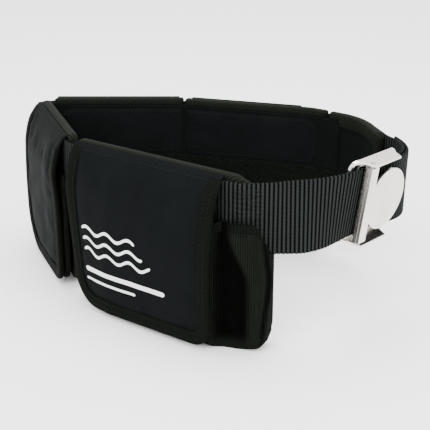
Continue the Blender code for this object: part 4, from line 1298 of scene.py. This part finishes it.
def lay_on(piece, cloth, unit):
    """Lay a thin print on the outer face of the cloth it is printed on."""
    points = [cloth.matrix_world @ v.co for v in cloth.data.vertices]
    skin = BVHTree.FromPolygons(points, [tuple(face.vertices) for face in cloth.data.polygons])
    away = Vector(outward(unit, 0.5 * (unit["flap"][0] + unit["flap"][1])))
    for number, vert in enumerate(piece.data.vertices):
        hit = skin.ray_cast(vert.co + away * 20 * MM, -away)[0]
        if hit is not None:
            vert.co = hit + away * (0.02 if number % 6 in (0, 5) else 0.14) * MM
    return piece


def box_stitching(spots, middle, up, out, near, far):
    """Zigzag rows that sew the webbing down, between two distances along its outer layer."""
    parts = []
    for row in np.arange(near, far, 2.6):
        line, normals = [], []
        for k, across in enumerate(np.arange(-22.0, 22.1, 0.8)):
            i = int(np.searchsorted(spots, row + (1.1 if k % 4 in (1, 2) else -0.6)))
            line.append(middle[i] + up[i] * across * MM + out[i] * (WEBBING_THICK_HALF + 0.05) * MM)
            normals.append(out[i])
        parts += sewn_row(line, normals)
    return parts


# ------------------------------------------------------------------ build

def fix(piece, slot, node=None, fill=None, body="root", hinge=None):
    """Give a piece its slot, the CAD node that it stands for and its body.

    Cloth over a hinge bends from the belt to that body."""
    if node:
        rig.replaces(piece, node)
    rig.slot(piece, slot)
    if fill:
        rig.padded(piece, fill)
    if hinge:
        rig.blend(piece, "root", body, *hinge)
    else:
        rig.ride(piece, body)


for name, unit in UNITS.items():
    fix(make_panel(name, unit), "panel", f"{name}_panel", fill=0.8)
    fix(make_panel_tape(name, unit), "binding", f"{name}_panel_binding")
    fix(make_thread(f"{name}_panel_stitching", panel_seams(name, unit)), "binding")

for name in POCKETS:
    unit, lid = UNITS[name], f"{name}_flap"
    fix(make_pouch(name, unit), "pouch", f"{name}_pouch")
    hem, hem_thread = make_pouch_hem(name, unit)
    fix(hem, "binding")
    fix(make_thread(f"{name}_hem_stitching", hem_thread), "binding")
    fix(make_strip(name, unit, "loop"), "strip", f"{name}_loop_strip")
    fix(make_strip(name, unit, "hook"), "strip", f"{name}_hook_strip", body=lid)
    hinge = flap_hinge(unit)
    flap = make_flap(name, unit)
    fix(flap, "flap", f"{name}_flap", fill=0.5, body=lid, hinge=hinge)
    tape, flap_thread = make_flap_tape(name, unit)
    fix(tape, "binding", f"{name}_flap_binding", body=lid, hinge=hinge)
    if name == "front_left":
        fix(lay_on(make_print(unit), flap, unit), "flap", body=lid)
    flap_thread += seam_row(unit, 117.2, 0.02)
    fix(make_thread(f"{name}_flap_stitching", flap_thread), "binding", body=lid, hinge=hinge)

for name, low, high, near_end, far_end in (("rear_right_waist_pad", 5.0, 117.3, 14.0, 2.5),
                                           ("rear_left_waist_pad", 0.6, 103.0, 2.5, 14.0)):
    pad, pad_thread = make_pad(name, UNITS[name.replace("_waist_pad", "")], low, high, near_end, far_end)
    fix(pad, "pad", name, fill=0.7)
    fix(make_thread(f"{name}_stitching", pad_thread), "pad")

lining, lining_thread = make_lining()
fix(lining, "panel")
fix(make_thread("rear_lining_stitching", lining_thread), "panel")

webbing, spots, middle, up, out = make_webbing()
fix(webbing, "webbing", "webbing_strap")
# the strap is sewn down where it comes out from behind the front left pouch
sewn = spots[np.nonzero((middle[:, 0] > 0.022) & (middle[:, 0] < 0.040) & (middle[:, 1] < -0.05))[0]]
fix(make_thread("webbing_box_stitching", box_stitching(spots, middle, up, out, sewn[0], sewn[-1])), "webbing")

for name, material in (("buckle_frame", STEEL), ("buckle_lever", STEEL), ("buckle_pin", PIN_STEEL),
                       ("front_left_lead_weight", LEAD), ("rear_left_lead_weight", LEAD),
                       ("rear_right_lead_weight", LEAD)):
    node = frame["nodes"][name]
    node.data.materials.clear()
    node.data.materials.append(material)
    bevel = node.modifiers.new("worn edges", "BEVEL")
    bevel.width = 0.25 * MM if material is not LEAD else 0.8 * MM
    bevel.segments = 2
    bevel.limit_method = "ANGLE"
    bevel.angle_limit = math.radians(35)


# ------------------------------------------------------------------ stage

def area_light(name, at, size, power):
    data = bpy.data.lights.new(name, "AREA")
    data.energy, data.size = power, size
    lamp = bpy.data.objects.new(name, data)
    lamp.location = at
    lamp.rotation_euler = (Vector((0, 0, 0.06)) - Vector(at)).to_track_quat("-Z", "Y").to_euler()
    bpy.context.collection.objects.link(lamp)


floor_points = np.array([[-4, -4, -0.0004], [4, -4, -0.0004], [4, 4, -0.0004], [-4, 4, -0.0004]], float)
floor = from_arrays("floor", floor_points, [[0, 1, 2, 3]], plain_pale("pale floor", (0.98, 0.98, 0.98)))
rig.stage(floor)
world = bpy.data.worlds.new("studio")
world.use_nodes = True
world.node_tree.nodes["Background"].inputs["Color"].default_value = (1.0, 1.0, 1.0, 1.0)
world.node_tree.nodes["Background"].inputs["Strength"].default_value = 2.6
bpy.context.scene.world = world
area_light("key", (-0.5, -1.0, 1.1), 0.7, 16.0)
area_light("fill", (0.9, -0.8, 0.6), 0.6, 6.0)
area_light("top", (0.0, 0.3, 1.4), 0.9, 20.0)

camera_data = bpy.data.cameras.new("camera")
camera_data.lens, camera_data.sensor_width, camera_data.clip_start = 83.72, 36.0, 0.01
camera = bpy.data.objects.new("camera", camera_data)
camera.location = (0.00961, -0.71112, 0.3328)
camera.rotation_euler = (math.radians(68.6), 0.0, 0.0)
bpy.context.collection.objects.link(camera)
bpy.context.scene.camera = camera

visual_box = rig.bounds()
with open("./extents.json", "w") as size_file:
    json.dump({"cad": [list(map(float, corner)) for corner in cad_box],
               "visual": [list(map(float, corner)) for corner in visual_box]}, size_file)
